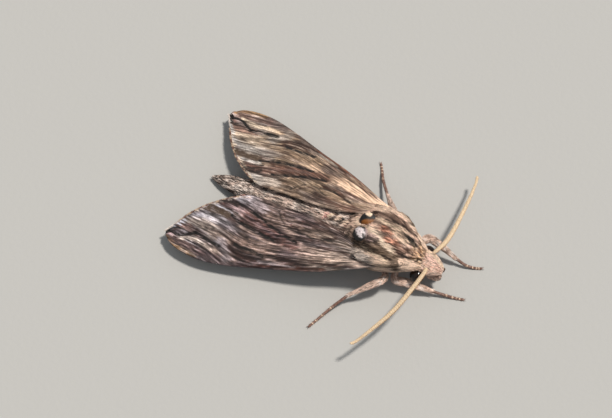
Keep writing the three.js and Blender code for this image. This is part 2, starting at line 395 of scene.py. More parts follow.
# The body's section: distance back, half width, top and bottom, out to the tips of the coat
BODY = [
    (1.0, 0.8, 5.5, 4.2),
    (1.7, 1.5, 6.6, 3.9),
    (2.8, 2.15, 7.5, 3.75),
    (4.0, 2.6, 8.1, 3.6),
    (5.2, 2.7, 8.65, 3.7),
    (7.5, 4.0, 10.2, 3.8),
    (10, 5.2, 11.5, 2.6),
    (13, 6.0, 12.2, 1.2),
    (16.5, 6.4, 11.9, 1.2),
    (19.5, 5.5, 10.5, 1.2),
    (21.5, 4.7, 8.9, 1.0),
    (25, 4.6, 8.0, 0.9),
    (30, 4.3, 7.25, 0.7),
    (35, 3.8, 6.4, 0.4),
    (40, 3.1, 5.3, 0.1),
    (45, 2.3, 4.1, 0.0),
    (49, 1.6, 3.0, 0.0),
    (51.4, 0.85, 1.9, 0.15),
    (52.4, 0.3, 1.2, 0.45),
]
BODY_END = BODY[-1][0]
SHOULDER = 0.08
TAIL_FROM, TAIL_SIDEWAYS = 28, 1.1
COAT_DEPTH = [(0, 0.3), (4, 0.4), (7, 0.6), (18, 0.65), (22, 0.4), (48, 0.35), (52.4, 0.2)]
SEGMENTS = [24.2, 28.0, 31.9, 35.8, 39.6, 43.3, 46.8, 50.0]  # rear edges of the abdomen's rings


def tail_shift(t):
    share = clamp((t - TAIL_FROM) / (BODY_END - TAIL_FROM))
    return TAIL_SIDEWAYS * share * share * (3 - 2 * share)


def body_point(turn, t, inset=0.0):
    """A point of the body's surface: turn is the angle round it from the top, in radians."""
    section = along(BODY, t)
    half, top, bottom = section[..., 0] - inset, section[..., 1] - inset, section[..., 2] + inset
    half, tall = np.maximum(half, 0.1), np.maximum((top - bottom) / 2, 0.1)
    up = np.cos(turn)
    x = tail_shift(t) + np.sin(turn) * half * (1 + SHOULDER * up)
    return np.stack([x, t + 0 * turn, (top + bottom) / 2 + up * tall], -1)


def coat_depth(t):
    return along(COAT_DEPTH, t)[..., 0]


LEGS = {
    "fore": {
        "left": [(2.6, 9.0, 3.2), (4.6, 7.4, 4.1), (5.6, 6.0, 4.6), (5.4, 3.0, 3.6), (5.1, 0.4, 2.0)],
        "right": [(2.6, 9.9, 2.6), (4.5, 9.1, 2.7), (4.2, 6.9, 2.4), (3.8, 4.2, 2.1), (3.35, 1.9, 1.5)],
    },
    "middle": {
        "left": [(3.2, 12.5, 1.9), (6.4, 13.4, 4.1), (9.0, 15.9, 4.2), (11.4, 17.8, 2.9)],
        "right": [(3.2, 12.0, 1.9), (6.0, 11.0, 4.2), (8.6, 13.0, 4.0), (11.4, 16.0, 2.6)],
    },
    "hind": {
        "left": [(2.8, 16.6, 1.8), (5.4, 17.6, 3.2), (7.6, 20.6, 3.1), (8.8, 24.6, 1.6)],
        "right": [(2.8, 16.6, 1.8), (5.4, 17.8, 3.2), (7.4, 21.0, 3.1), (8.2, 25.0, 1.6)],
    },
}
FEET = {
    "fore": {
        "left": [(5.1, -0.1, 1.7), (5.0, -2.2, 0.8), (5.5, -4.2, 0.2), (6.0, -5.4, 0.2)],
        "right": [(3.25, 1.5, 1.35), (2.7, -1.0, 0.7), (2.2, -3.2, 0.2), (1.8, -4.8, 0.2)],
    },
    "middle": {
        "left": [(11.7, 18.1, 2.7), (15.1, 20.5, 1.2), (17.5, 21.8, 0.2), (18.9, 22.7, 0.2)],
        "right": [(11.7, 16.3, 2.4), (14.6, 18.2, 1.1), (18.2, 20.0, 0.2), (20.3, 20.9, 0.2)],
    },
    "hind": {
        "left": [(8.9, 25.0, 1.4), (9.3, 28.0, 0.6), (9.8, 31.4, 0.2), (10.1, 33.4, 0.2)],
        "right": [(8.3, 25.4, 1.4), (8.6, 28.4, 0.6), (9.0, 31.8, 0.2), (9.6, 33.7, 0.2)],
    },
}
SIDES = {"left": 1, "right": -1}
LIMB_RADIUS = {"fore": 0.86, "middle": 0.75, "hind": 0.68}
LIMB_COAT = 0.28
PALP = [(1.15, 3.8, 2.95), (1.1, 2.4, 2.85), (1.0, 1.4, 3.25), (0.85, 1.05, 4.3)]
PALP_COAT = 0.14
# Rounded lumps: their centre, half sizes, turn in degrees and how far their front end is moved
TEGULA = {
    "centre": (4.75, 12.4, 10.0),
    "half": (1.5, 5.0, 0.95),
    "turn": (-3, 33, -13),
    "dip": (-0.8, 0.3, -1.7),
}
TUFT = {"centre": (1.75, 18.1, 10.55), "half": (1.62, 1.75, 1.3), "turn": (-22, 14, 0), "dip": (0, 0, 0)}


def sided(points, side):
    return np.asarray(points, float) * np.array([side, 1, 1])


def limb_radius(pair, share, inset=0.0):
    return LIMB_RADIUS[pair] * (0.62 + 0.5 * np.sin(math.pi * np.minimum(share + 0.1, 1))) - inset


def palp_radius(share, inset=0.0):
    return 0.34 + 0.24 * np.sin(math.pi * np.minimum(share + 0.18, 1)) - inset


def tube_frames(points, share):
    """Centre, side and up directions along a rod."""
    centre = spline(points, share)
    ahead = unit(spline(points, np.minimum(share + 0.01, 1)) - spline(points, np.maximum(share - 0.01, 0)))
    side = unit(np.cross(ahead, np.array([0.05, 0.05, 1.0])))
    return centre, ahead, side, np.cross(side, ahead)


def tube_point(points, turn, share, radius):
    centre, ahead, side, up = tube_frames(points, share)
    return centre + radius[..., None] * (np.cos(turn)[..., None] * up + np.sin(turn)[..., None] * side)


def tube_mesh(points, radius, steps=40, sides=16):
    """Points and faces of a closed rod; radius is a function of the share of its length."""
    share, turn = ring_grid(np.linspace(0, 1, steps), sides)
    return closed_rod(tube_point(points, turn, share, radius(share)), sides, spline(points, [0, 1]))


def turned(shape, side, directions):
    """Unit directions as points on one of the rounded lumps."""
    rotation = Matrix.Identity(3)
    angles = (shape["turn"][0], side * shape["turn"][1], side * shape["turn"][2])
    for axis, angle in zip("XYZ", angles):
        rotation = rotation @ Matrix.Rotation(math.radians(angle), 3, axis)
    return np.asarray(directions) @ np.array(rotation).T


def lump_point(shape, side, directions, inset):
    half = np.array(shape["half"]) - inset
    front = clamp(-directions[:, 1:2]) ** 2
    centre = sided(shape["centre"], side) + front * sided(shape["dip"], side)
    return turned(shape, side, directions * half) + centre


def ball(columns, rows):
    """Directions and faces of a closed ball."""
    tall, turn = ring_grid(np.linspace(0, math.pi, rows + 1)[1:-1], columns)
    middle = np.stack([np.sin(tall) * np.cos(turn), np.sin(tall) * np.sin(turn), np.cos(tall)], -1)
    points, faces = closed_rod(middle, columns, [[0, 0, 1], [0, 0, -1]])
    return points, [face[::-1] for face in faces]


def body_mesh():
    sides = 48
    t, turn = ring_grid(np.linspace(BODY[0][0] + 0.25, BODY_END - 0.2, 150), sides)
    groove = sum(0.16 * np.exp(-(((t - rear) / 0.22) ** 2)) for rear in SEGMENTS)
    shell = body_point(turn, t, coat_depth(t) + groove)
    shell[:, 2] = np.maximum(shell[:, 2], 0.03)
    return closed_rod(shell, sides, [shell[:sides].mean(0), shell[-sides:].mean(0)])


def limb_points(pair, name):
    return sided(LEGS[pair][name], SIDES[name])


def make_skin(material):
    parts = [body_mesh()]
    directions, ball_faces = ball(28, 18)
    for name, side in SIDES.items():
        parts.append((lump_point(TEGULA, side, directions, 0.35), ball_faces))
        parts.append((lump_point(TUFT, side, directions, 0.3), ball_faces))
        parts.append(tube_mesh(sided(PALP, side), lambda s: palp_radius(s, PALP_COAT)))
        for pair in LEGS:
            parts.append(tube_mesh(limb_points(pair, name), lambda s: limb_radius(pair, s, LIMB_COAT)))
    points, faces = np.zeros((0, 3)), []
    for shell, shell_faces in parts:
        faces += [[len(points) + index for index in face] for face in shell_faces]
        points = np.vstack([points, shell])
    rough = add_mesh("rough_skin", points, faces)
    remesh = rough.modifiers.new("one_skin", "REMESH")
    remesh.mode = "VOXEL"
    remesh.voxel_size = 0.2 * MM
    smooth = rough.modifiers.new("soft", "SMOOTH")
    smooth.iterations = 3
    evaluated = rough.evaluated_get(bpy.context.evaluated_depsgraph_get())
    skin = put("skin", bpy.data.meshes.new_from_object(evaluated))
    bpy.data.objects.remove(rough)
    skin.data.polygons.foreach_set("use_smooth", [True] * len(skin.data.polygons))
    # The skin is painted a little darker than the locks over it, as painted shade under the coat.
    paint(skin, body_colour(vertices_of(skin)) * 0.9)
    nodes = ["head", "collar", "thorax", "abdomen_front", "abdomen_middle", "abdomen_rear", "abdomen_tip"]
    for name in SIDES:
        nodes += [f"tegula_{name}", f"tuft_{name}", f"palp_{name}"]
        nodes += [f"leg_{pair}_{name}" for pair in LEGS]
    finish_piece(skin, material, nodes)
    return skin


# ---- markings ----

PINK_TAN = np.array([0.50, 0.33, 0.25])
PEACH = np.array([0.88, 0.63, 0.47])
CREAM = np.array([0.86, 0.64, 0.46])
# A pale ivory for the tegulae's edges, with a painted highlight in it.
IVORY_HIGHLIGHT = CREAM * [1.15, 1.13, 1.2]
FACE = np.array([0.90, 0.64, 0.51])
PALE = np.array([0.50, 0.43, 0.385])
BUFF = np.array([0.42, 0.30, 0.21])
OLIVE = np.array([0.068, 0.043, 0.028])
BROWN = np.array([0.095, 0.048, 0.036])
BLACK = np.array([0.010, 0.008, 0.007])
EYE_BROWN = np.array([0.02, 0.011, 0.008])
GREY = np.array([0.225, 0.165, 0.137])
MAUVE = np.array([0.24, 0.165, 0.155])
RUST = np.array([0.33, 0.125, 0.075])
RUSSET = np.array([0.235, 0.092, 0.057])
OCHRE = np.array([0.45, 0.23, 0.08])
AMBER = np.array([0.36, 0.115, 0.012])
PINK = np.array([0.50, 0.21, 0.18])

# Marks on the body from above: colour, width, strength, whether on both sides, and a line of (x, t)
BODY_MARKS = [
    (MAUVE, 3.0, 0.35, False, [(0.6, 13.2), (0.3, 9.4)]),
    (
        PEACH, 2.3, 0.95, True,
        [(5.4, 16.4), (6.3, 14.1), (6.3, 11.9), (5.5, 10.0), (4.0, 7.9), (2.9, 6.2), (2.7, 4.8)],
    ),
    (BROWN, 0.3, 0.75, True, [(5.2, 17.0), (6.0, 13.2), (5.3, 10.6)]),
    # Ivory line on each tegula's outer edge: its pale edging, brightened with a painted highlight.
    (IVORY_HIGHLIGHT, 1.4, 1.0, True, [(6.5, 16.0), (6.2, 13.4), (5.6, 11.4), (4.5, 9.0), (3.1, 6.8)]),
    (PALE * 0.8, 1.9, 0.85, False, [(-5.7, 18.0), (-6.1, 14.6)]),
    (
        BROWN * [1.0, 1.15, 1.15], [1.6, 1.7, 1.8, 1.5, 1.0], 0.96, True,
        [(3.6, 17.4), (3.8, 14.9), (3.9, 12.9), (3.6, 11.0), (2.8, 9.3)],
    ),
    (BLACK, 0.35, 0.85, True, [(3.1, 16.6), (3.0, 13.9), (3.2, 11.6), (2.7, 9.6)]),
    (PEACH, 0.4, 0.8, False, [(2.6, 15.8), (2.5, 13.2), (2.7, 11.2)]),
    (OLIVE, 2.0, 0.9, False, [(-4.0, 18.6), (-3.8, 14.3), (-3.9, 12.4), (-4.0, 11.1), (-4.4, 9.9)]),
    (CREAM, 0.32, 0.95, False, [(-4.3, 16.4), (-4.6, 13.9), (-5.0, 12.4), (-5.2, 11.3)]),
    (CREAM, 0.65, 0.85, False, [(2.3, 16.6), (2.2, 14.6), (2.3, 12.4), (2.2, 10.5)]),
    (BROWN, 0.4, 0.7, False, [(1.6, 15.4), (1.5, 13.2), (1.4, 11.6)]),
    (
        CREAM * [1.0, 1.03, 1.08], 0.9, 1.0, False,
        [(-0.6, 16.5), (-1.1, 14.8), (-1.9, 14.2), (-2.4, 12.9), (-2.8, 10.9)],
    ),
    (PEACH, 1.4, 0.6, False, [(0.6, 13.2), (0.3, 11.6), (0.1, 9.8)]),
    (RUSSET, 1.6, 0.9, False, [(0.9, 14.6), (0.5, 13.0)]),
    (RUSSET * 1.25, 1.3, 0.85, False, [(-1.0, 13.0), (-1.2, 11.9), (-1.0, 10.9)]),
    (BROWN, 0.4, 0.85, False, [(-0.2, 14.8), (-0.35, 12.8), (-0.2, 10.9)]),
    (BROWN, 0.3, 0.8, False, [(-1.9, 13.2), (-1.9, 11.6), (-1.6, 10.2)]),
    (BUFF, 1.6, 0.65, False, [(1.5, 12.4), (1.5, 10.6), (0.4, 9.9)]),
    (BLACK, [0.7, 1.7, 1.1], 1.0, False, [(1.7, 10.0), (1.2, 8.9), (0.7, 8.0)]),
    (BLACK, 0.4, 0.9, False, [(1.0, 7.8), (-0.2, 8.1), (-1.3, 9.0), (-2.3, 10.2)]),
    (BROWN, 1.3, 0.95, False, [(-2.4, 10.4), (-2.1, 9.6), (-1.3, 8.9)]),
    # This black line on the right front of the thorax is painted shadow along the rear edge of the collar.
    (BLACK, 0.55, 0.95, False, [(-2.9, 9.9), (-2.5, 8.0), (-1.9, 6.9), (-1.2, 6.2)]),
    (BROWN, 0.5, 0.9, False, [(3.3, 8.9), (2.6, 7.8), (1.6, 6.9), (0.5, 6.6)]),
    (MAUVE, 1.7, 0.85, False, [(-1.9, 17.0), (-2.3, 15.2)]),
    (BLACK, 0.4, 0.85, False, [(-3.0, 15.6), (-2.7, 14.4), (-1.9, 14.9)]),
    (PEACH, 0.95, 0.95, False, [(1.6, 20.0), (0.2, 19.9), (-0.3, 18.2), (-0.6, 16.8)]),
    # The two black patches behind the domes are painted deep shade where the thorax meets the abdomen.
    (BLACK, 1.6, 0.85, False, [(-1.2, 21.2), (-2.2, 20.9)]),
    (BLACK, 1.3, 0.85, False, [(2.4, 21.3), (3.4, 20.8)]),
]
# Pale and dark bars on the base of the abdomen: colour, width, strength and a line of (x, t)
BASE_MARKS = [
    (PEACH, 0.6, 0.9, [(-0.5, 22.6), (0.5, 22.2)]),
    (BLACK, 0.45, 0.9, [(-0.5, 23.4), (0.7, 23.1)]),
    (PEACH, 0.75, 0.9, [(0.0, 24.3), (0.9, 23.9)]),
    (BLACK, 0.4, 0.85, [(0.0, 25.1), (1.0, 24.7)]),
    (CREAM, 0.7, 0.85, [(0.3, 26.0), (0.9, 25.6)]),
    (PINK, 0.7, 0.6, [(-0.4, 26.9), (1.0, 26.5)]),
]


def body_colour(points):
    x, t, h = points.T
    plan = np.stack([x, t], -1)
    mirror = np.stack([np.abs(x), t], -1)
    flow = x / np.maximum(along(BODY, t)[:, 0], 0.5)
    strand = noise(np.stack([flow * 16, t * 0.55, h * 0.5], -1), 3)
    fine = noise(np.stack([flow * 28, t * 1.1, h * 1.1], -1), 4)
    sway, drift = noise(points * 1.4, 5) - 0.5, noise(points * 1.4, 6) - 0.5
    wobble = np.stack([sway, drift + (fine - 0.5) * 1.6], -1) * 0.55
    # abdomen: grey-brown above, with pink, pale and black bars down each side
    rear = ease(t, 20.6, 22)
    grey = mixed(GREY * 1.6, PALE, 0.55 * ease(noise(points * [1.6, 0.9, 1.6], 8), 0.4, 0.75))
    grey = mixed(grey, BROWN, 0.8 * ease(noise(points * [2.4, 0.9, 2.4], 9), 0.55, 0.35) * ease(t, 38, 24))
    grey = mixed(grey, BLACK, 0.85 * ease(strand, 0.5, 0.36) * ease(t, 41, 46))
    grey = mixed(grey, PALE * 0.8, 0.6 * ease(strand, 0.6, 0.7) * ease(t, 41, 46))
    for tint, width, strength, line in BASE_MARKS:
        near = near_line(plan + wobble * 0.5, line, width, 0.35)
        grey = mixed(grey, tint, strength * near * ease(h, 5, 6))
    half = np.maximum(along(BODY, t)[:, 0], 0.3)
    flank = ease(np.abs(x - tail_shift(t)) / half, 0.74, 0.86) * ease(t, 48, 44) * ease(t, 22, 24)
    step = np.mod(t + wobble[:, 1] - 20.4, 3.8) / 3.8
    bars = mixed(PINK, PALE, ease(step, 0.42, 0.55))
    bars = mixed(bars, BLACK, ease(step, 0.68, 0.76) * 0.95)
    bars = mixed(bars, PALE, ease(step, 0.93, 0.97))
    colour = mixed(PINK_TAN, mixed(grey, bars, flank * 0.9), rear)
    # thorax
    above = ease(h, 5.2, 7.6) * (1 - rear)
    for tint, width, strength, both, line in BODY_MARKS:
        near = near_line((mirror if both else plan) + wobble * 0.6, line, width, 0.35)
        colour = mixed(colour, tint, strength * near * above)
    flecks = noise(points * 3.1, 12)
    collar = ease(t, 4.6, 5.4) * ease(t, 8.6, 7.4) * ease(np.abs(x + 0.2), 2.5, 1.7) * ease(h, 6.5, 8)
    dark_spot = near_line(plan, [(1.7, 9.3), (1.1, 7.7)], 1.4, 0.3)
    collar = collar * (1 - dark_spot)
    colour = mixed(colour, OCHRE * 0.85, collar * (0.25 + 0.5 * ease(flecks, 0.4, 0.6)))
    colour = mixed(colour, CREAM, 0.8 * collar * ease(flecks, 0.6, 0.72))
    colour = mixed(colour, BROWN, 0.9 * collar * ease(flecks, 0.5, 0.36))
    for side in SIDES.values():
        dome = ease(dome_nearness(points, side), 1.1, 1.0) * ease(h, 9.2, 9.8)
        colour = mixed(colour, tuft_colour(points, side), dome)
    # face: pale, with rusty flecks; the underside is pale too
    face = ease(t, 5.6, 4.4)
    ridge = noise(np.stack([flow * 6, t * 0.45, h * 0.4], -1), 14)
    pale_face = mixed(FACE, RUST, 0.5 * ease(flecks, 0.68, 0.78))
    pale_face = mixed(pale_face, PINK, 0.3 * near_line(plan, [(0.2, 5.4), (0.2, 2.4)], 2.0, 0.7))
    pale_face = mixed(pale_face, RUST, 0.6 * ease(ridge, 0.45, 0.28) * ease(fine, 0.65, 0.45))
    rim = near_line(plan + wobble * 0.5, [(1.9, 5.2), (1.5, 3.2), (0.8, 1.6)], 1.1, 0.5)
    pale_face = mixed(pale_face, CREAM * 1.1, 0.8 * rim)
    brow = near_line(plan + wobble, [(2.2, 5.6), (1.0, 5.9)], 0.5, 0.5)
    pale_face = mixed(pale_face, BROWN, 0.7 * brow)
    colour = mixed(colour, pale_face, face)
    under = ease(h, 4.5, 2.2) * (1 - face) * ease(t, 46, 38)
    colour = mixed(colour, mixed(PALE, PINK_TAN, 0.4), under * 0.75)
    # strands of hair, lighter and darker
    shade = np.exp(2.4 * (strand - 0.5) + 3.0 * (fine - 0.5))
    shade = shade ** (1 - 0.4 * face)
    colour = mixed(colour * np.minimum(shade, 1.8)[:, None], CREAM, 0.1 * ease(shade, 1.4, 2.6))
    return within(colour)


def dome_nearness(points, side):
    """0 at a dome's middle and 1 at its rim."""
    away = turned(TUFT, side, np.eye(3)).T
    return np.linalg.norm((points - sided(TUFT["centre"], side)) @ away.T / np.array(TUFT["half"]), axis=1)


def tuft_colour(points, side):
    """The domes: the left black with a cream dot, which is a painted highlight, and an amber foot; the right
    in a black ring, with a pearly middle that is partly its own pale scales and partly a painted highlight.
    """
    plan = points[:, :2]
    if side > 0:
        foot = near_line(plan, [(0.6, 18.5), (1.2, 17.4), (1.7, 16.3)], 1.05, 0.25)
        # The cream dot on the left dome is a painted highlight.
        painted_highlight = near_line(plan, [(2.45, 18.4), (2.3, 18.1)], 0.75, 0.2)
        return mixed(mixed(BLACK, AMBER * 0.7, foot), CREAM * 1.25, painted_highlight)
    colour = mixed(BLACK, MAUVE * 1.5, near_line(plan, [(-1.6, 16.9), (-0.4, 17.3)], 1.2, 0.3))
    # The pale middle of the right dome: its own pale scales, with a painted highlight over them.
    pearly_scales_and_highlight = near_line(plan, [(-1.25, 18.9), (-1.75, 18.3), (-2.1, 17.8)], [0.75, 1.1, 0.8], 0.14)
    colour = mixed(colour, PALE * [1.5, 1.5, 1.65], pearly_scales_and_highlight)
    return mixed(colour, BLACK, 0.9 * pearly_scales_and_highlight * ease(noise(points * 5.5, 31), 0.6, 0.68))


# Marks on the forewing: colour, width, strength and a line of shares, from base to tip and front to rear
WING_MARKS = [
    (PALE, 3.2, 0.8, [(0.02, 0.75), (0.06, 0.35), (0.1, 0.1)]),
    (PALE, 2.6, 0.65, [(0.93, 0.93), (0.82, 0.68), (0.71, 0.57), (0.61, 0.48)]),
    (BUFF * 1.15, 3.0, 0.85, [(0.92, 0.75), (0.8, 0.52), (0.7, 0.42), (0.55, 0.3), (0.42, 0.3)]),
    (BUFF, 1.6, 0.8, [(0.7, 0.2), (0.61, 0.17), (0.56, 0.13)]),
    (PALE, 1.9, 0.8, [(0.65, 0.3), (0.6, 0.2), (0.58, 0.1)]),
    (PEACH, 2.2, 0.8, [(0.42, 0.36), (0.36, 0.44), (0.28, 0.32), (0.17, 0.27), (0.06, 0.24)]),
    (CREAM, 1.2, 0.7, [(0.4, 0.68), (0.34, 0.54)]),
    (BUFF, 2.4, 0.7, [(0.5, 0.76), (0.36, 0.76), (0.28, 0.7), (0.2, 0.72)]),
    (PALE * 1.6, 2.4, 1.0, [(0.69, 0.98), (0.62, 0.92), (0.55, 0.86)]),
    (BROWN, 2.0, 0.75, [(0.33, 0.83), (0.22, 0.88), (0.1, 0.97)]),
    (BROWN * 3.0, 2.4, 0.3, [(0.96, 0.16), (0.84, 0.1), (0.72, 0.06)]),
    (
        BROWN * 2.5, 2.1, 0.9,
        [(0.77, 0.97), (0.7, 0.86), (0.66, 0.79), (0.565, 0.68), (0.477, 0.585), (0.4, 0.49), (0.34, 0.42)],
    ),
    (MAUVE, 0.6, 0.5, [(0.6, 0.72), (0.5, 0.6), (0.42, 0.51)]),
    (BLACK, 1.3, 0.85, [(0.77, 0.99), (0.717, 0.91), (0.665, 0.82)]),
    (OLIVE, 1.5, 0.95, [(0.83, 0.92), (0.76, 0.79), (0.7, 0.69)]),
    (BROWN, 1.0, 0.85, [(0.69, 0.65), (0.645, 0.62), (0.6, 0.63)]),
    (PALE, 0.45, 0.9, [(0.81, 0.96), (0.75, 0.84), (0.68, 0.71)]),
    (BLACK, 0.28, 0.9, [(0.79, 0.97), (0.74, 0.86), (0.66, 0.72)]),
    (BLACK, 0.6, 1.0, [(0.68, 0.69), (0.615, 0.6), (0.535, 0.545), (0.483, 0.5), (0.413, 0.43)]),
    (BLACK, 0.6, 1.0, [(0.59, 0.79), (0.5, 0.69), (0.407, 0.565), (0.335, 0.465)]),
    (CREAM, 0.5, 0.7, [(0.6, 0.54), (0.5, 0.46), (0.42, 0.37)]),
    (BROWN, 0.35, 0.85, [(0.64, 0.87), (0.54, 0.79), (0.5, 0.7)]),
    (OCHRE * 0.75, 0.8, 0.75, [(0.97, 0.04), (0.84, 0.03), (0.72, 0.02)]),
    (BROWN * 2.0, 1.2, 0.45, [(0.9, 0.1), (0.78, 0.12), (0.68, 0.09)]),
    (BROWN, 0.35, 0.8, [(0.92, 0.2), (0.8, 0.17), (0.72, 0.14)]),
    (BROWN * 2.2, 1.5, 0.8, [(0.99, 0.95), (0.91, 0.6), (0.848, 0.47), (0.76, 0.35)]),
    (PALE, 1.3, 1.0, [(0.985, 1.0), (0.94, 0.99)]),
    (BLACK, 0.6, 1.0, [(1.0, 0.69), (0.96, 0.47), (0.905, 0.29), (0.86, 0.29), (0.835, 0.33), (0.8, 0.36)]),
    (BLACK, 0.65, 1.0, [(0.8, 0.38), (0.737, 0.31), (0.682, 0.265), (0.638, 0.235)]),
    (BLACK, 0.4, 0.95, [(1.0, 0.97), (0.95, 0.66), (0.91, 0.5)]),
    (CREAM, 0.7, 0.9, [(0.87, 0.22), (0.828, 0.25), (0.76, 0.25), (0.693, 0.2), (0.638, 0.17)]),
    (BROWN * 0.8, 2.6, 0.9, [(0.57, 0.26), (0.52, 0.14), (0.45, 0.06)]),
    (BLACK, 0.7, 0.95, [(0.57, 0.3), (0.5, 0.25), (0.44, 0.18)]),
    (BROWN, 1.3, 0.85, [(0.37, 0.17), (0.31, 0.1), (0.27, 0.03)]),
    (RUST * 0.6, 0.4, 0.8, [(0.46, 0.05), (0.33, 0.03), (0.2, 0.02)]),
    (PALE, 0.35, 0.85, [(0.45, 0.1), (0.33, 0.07)]),
    (BROWN, 0.45, 0.85, [(0.26, 0.16), (0.17, 0.08), (0.09, 0.05)]),
    (BROWN, 0.5, 0.9, [(0.33, 0.6), (0.27, 0.56), (0.21, 0.63), (0.14, 0.8)]),
    (BLACK, 0.4, 0.8, [(0.34, 0.64), (0.28, 0.6), (0.18, 0.65)]),
    (BROWN, 0.35, 0.9, [(0.43, 0.88), (0.4, 0.78), (0.38, 0.72), (0.35, 0.72), (0.33, 0.8), (0.34, 0.9)]),
    (BLACK, 0.3, 0.7, [(0.46, 0.9), (0.43, 0.78), (0.4, 0.68), (0.35, 0.66), (0.3, 0.75)]),
    (BROWN, 0.5, 0.8, [(0.24, 0.47), (0.14, 0.44), (0.06, 0.2)]),
    (CREAM, 0.4, 0.85, [(0.9, 0.985), (0.8, 0.985), (0.72, 0.985), (0.66, 0.985)]),
]
GROOVES = [mark[3] for mark in WING_MARKS if mark[0] is BLACK and mark[1] < 0.7]


def on_wing(line):
    line = np.array(line)
    return forewing_point(line[:, 0], line[:, 1])[:, :2]


def wing_tone_and_shade(u, v, side):
    """How light the scales are over the wing, region by region. The left one is warm and light and the right
    one cool and dark: partly the wings' own tone, partly painted light on the left wing and painted shade on
    the right.
    """
    u, v = u[:, None], v[:, None]
    outer, base = ease(u, 0.55, 0.8), ease(u, 0.36, 0.16)
    middle = 1 - outer - base
    tip = ease(u, 0.74, 0.92) * ease(v, 0.75, 0.45)
    if side > 0:
        tone = outer * [0.74, 0.78, 0.81] + middle * [0.49, 0.455, 0.42] + base * [1.17, 1.09, 1.0]
        return tone * (1 + 0.45 * tip)
    costal = ease(v, 0.32, 0.12) * ease(u, 0.85, 0.6) * ease(u, 0.2, 0.35)
    tone = outer * [0.53, 0.58, 0.7] + middle * [0.35, 0.32, 0.36] + base * [0.53, 0.53, 0.56]
    return tone * (1 - costal * 0.12) * (1 + 0.25 * tip)


def forewing_colour(u, v, side):
    row, across = lie(u, v)
    streak = surface_noise(row * 0.3, across * 2.3, 41 + side)
    fine = surface_noise(row * 0.42, across * 5.6, 47 + side)
    fleck = surface_noise(row * 1.4, across * 6.2, 57 + side)
    patch = surface_noise(u * 9, v * 6, 52)
    shift = (streak - 0.5) + 1.4 * (fine - 0.5)
    flat = forewing_point(u, v)[:, :2]
    plan = flat + np.stack([0.25 * (patch - 0.5) - 0.1 * shift, shift], -1)
    colour = mixed(GREY, BUFF, 0.5 * ease(patch, 0.4, 0.8))
    colour = mixed(colour, MAUVE, 0.5 * ease(patch, 0.5, 0.2))
    lines = []
    for tint, width, strength, line in WING_MARKS:
        crisp = tint is BLACK or tint is OLIVE
        still = 0.6 * crisp
        near = near_line(plan * (1 - still) + flat * still, on_wing(line), width, 0.4 - 0.15 * crisp)
        if crisp:
            lines.append((tint, strength * near))
        else:
            colour = mixed(colour, tint, strength * near)
    veins = ease(np.abs(np.mod(across / VEIN_GAP + 0.5, 1) - 0.5), 0.09, 0.03)
    colour = mixed(colour, BROWN, 0.4 * veins * ease(u, 0.45, 0.6))
    colour = mixed(colour, BROWN, 0.5 * ease(fine, 0.42, 0.25))
    colour = mixed(colour, PALE, 0.3 * ease(fine, 0.62, 0.78))
    shade = np.exp((1.1 if side > 0 else 1.6) * (streak + fine + fleck - 1.5)) * 0.97
    # the wings' tone, with painted light on the left wing and painted shade on the right
    colour = colour * shade[:, None] * wing_tone_and_shade(u, v, side)
    for tint, amount in lines:
        colour = mixed(colour, tint, amount * (1 - 0.4 * ease(fleck, 0.55, 0.75)))
    return within(colour, 0.85)


def hindwing_colour(a, b):
    fine = surface_noise(a * 40, b * 70, 61)
    colour = mixed(GREY * 1.1, PALE, 0.35 * fine)
    for middle, width in ((0.42, 0.05), (0.58, 0.06), (0.8, 0.1)):
        colour = mixed(colour, BLACK, 0.8 * ease(np.abs(a + 0.06 * b - middle), width, width * 0.5))
    colour = mixed(colour, PINK_TAN, 0.5 * ease(a, 0.3, 0.0))
    return colour * np.exp(1.5 * (fine - 0.5))[:, None]


# ---- wings ----

COSTA = [
    (6.0, 12.4, 8.8),
    (8.2, 17.6, 6.9),
    (10.7, 23.2, 5.5),
    (12.8, 29.2, 4.6),
    (14.6, 35.0, 3.8),
    (16.4, 40.6, 3.3),
    (17.45, 45.6, 3.05),
    (17.5, 49.6, 3.0),
    (16.8, 52.9, 2.9),
    (15.3, 55.0, 2.8),
]
HIND_MARGIN = [
    (4.4, 17.0, 9.8),
    (2.5, 21.4, 9.1),
    (1.6, 25.8, 8.5),
    (1.2, 30.4, 7.8),
    (1.3, 35.0, 7.0),
    (1.2, 39.4, 6.2),
    (1.6, 43.0, 5.5),
    (4.3, 47.6, 4.6),
    (8.2, 51.4, 3.8),
    (14.4, 55.3, 2.85),
]
CAMBER = 0.7
WING_DROP = 1.15
WING_HALF = 0.13  # half the thickness of the finished wing
VEIN_GAP = 1.44  # between the veins that run to the outer edge
SPAN = 60  # the length that the "span" map takes as one


def forewing_point(u, v):
    u, v = clamp(u), clamp(v)
    front, rear = spline(COSTA, u), spline(HIND_MARGIN, u)
    p = front * (1 - v)[:, None] + rear * v[:, None]
    p[:, 2] += CAMBER * 4 * v * (1 - v) * np.sin(math.pi * np.minimum(u + 0.15, 1))
    return p


def hindwing_point(a, b):
    front = 0.16 + 0.06 * a**4
    rear = 0.74 - 0.42 * a**5
    return forewing_point(0.1 + 0.66 * a, front + (rear - front) * b) - np.array([0, 0, WING_DROP])


def lie(u, v):
    """How far along a row of scales and which row, in mm. Rows fan out and then run straight back."""
    x, t, _ = forewing_point(u, v).T
    straight = ease(u, 0.4, 0.7)
    return t, (15 - 13.7 * v) * (1 - straight) + (x + 0.1 * (t - 37)) * straight


def surface_normal(point, a, b):
    step = 0.004
    ahead = point(np.minimum(a + step, 1), b) - point(np.maximum(a - step, 0), b)
    across = point(a, np.minimum(b + step, 1)) - point(a, np.maximum(b - step, 0))
    up = unit(np.cross(ahead, across))
    return up * np.sign(up[:, 2:3])


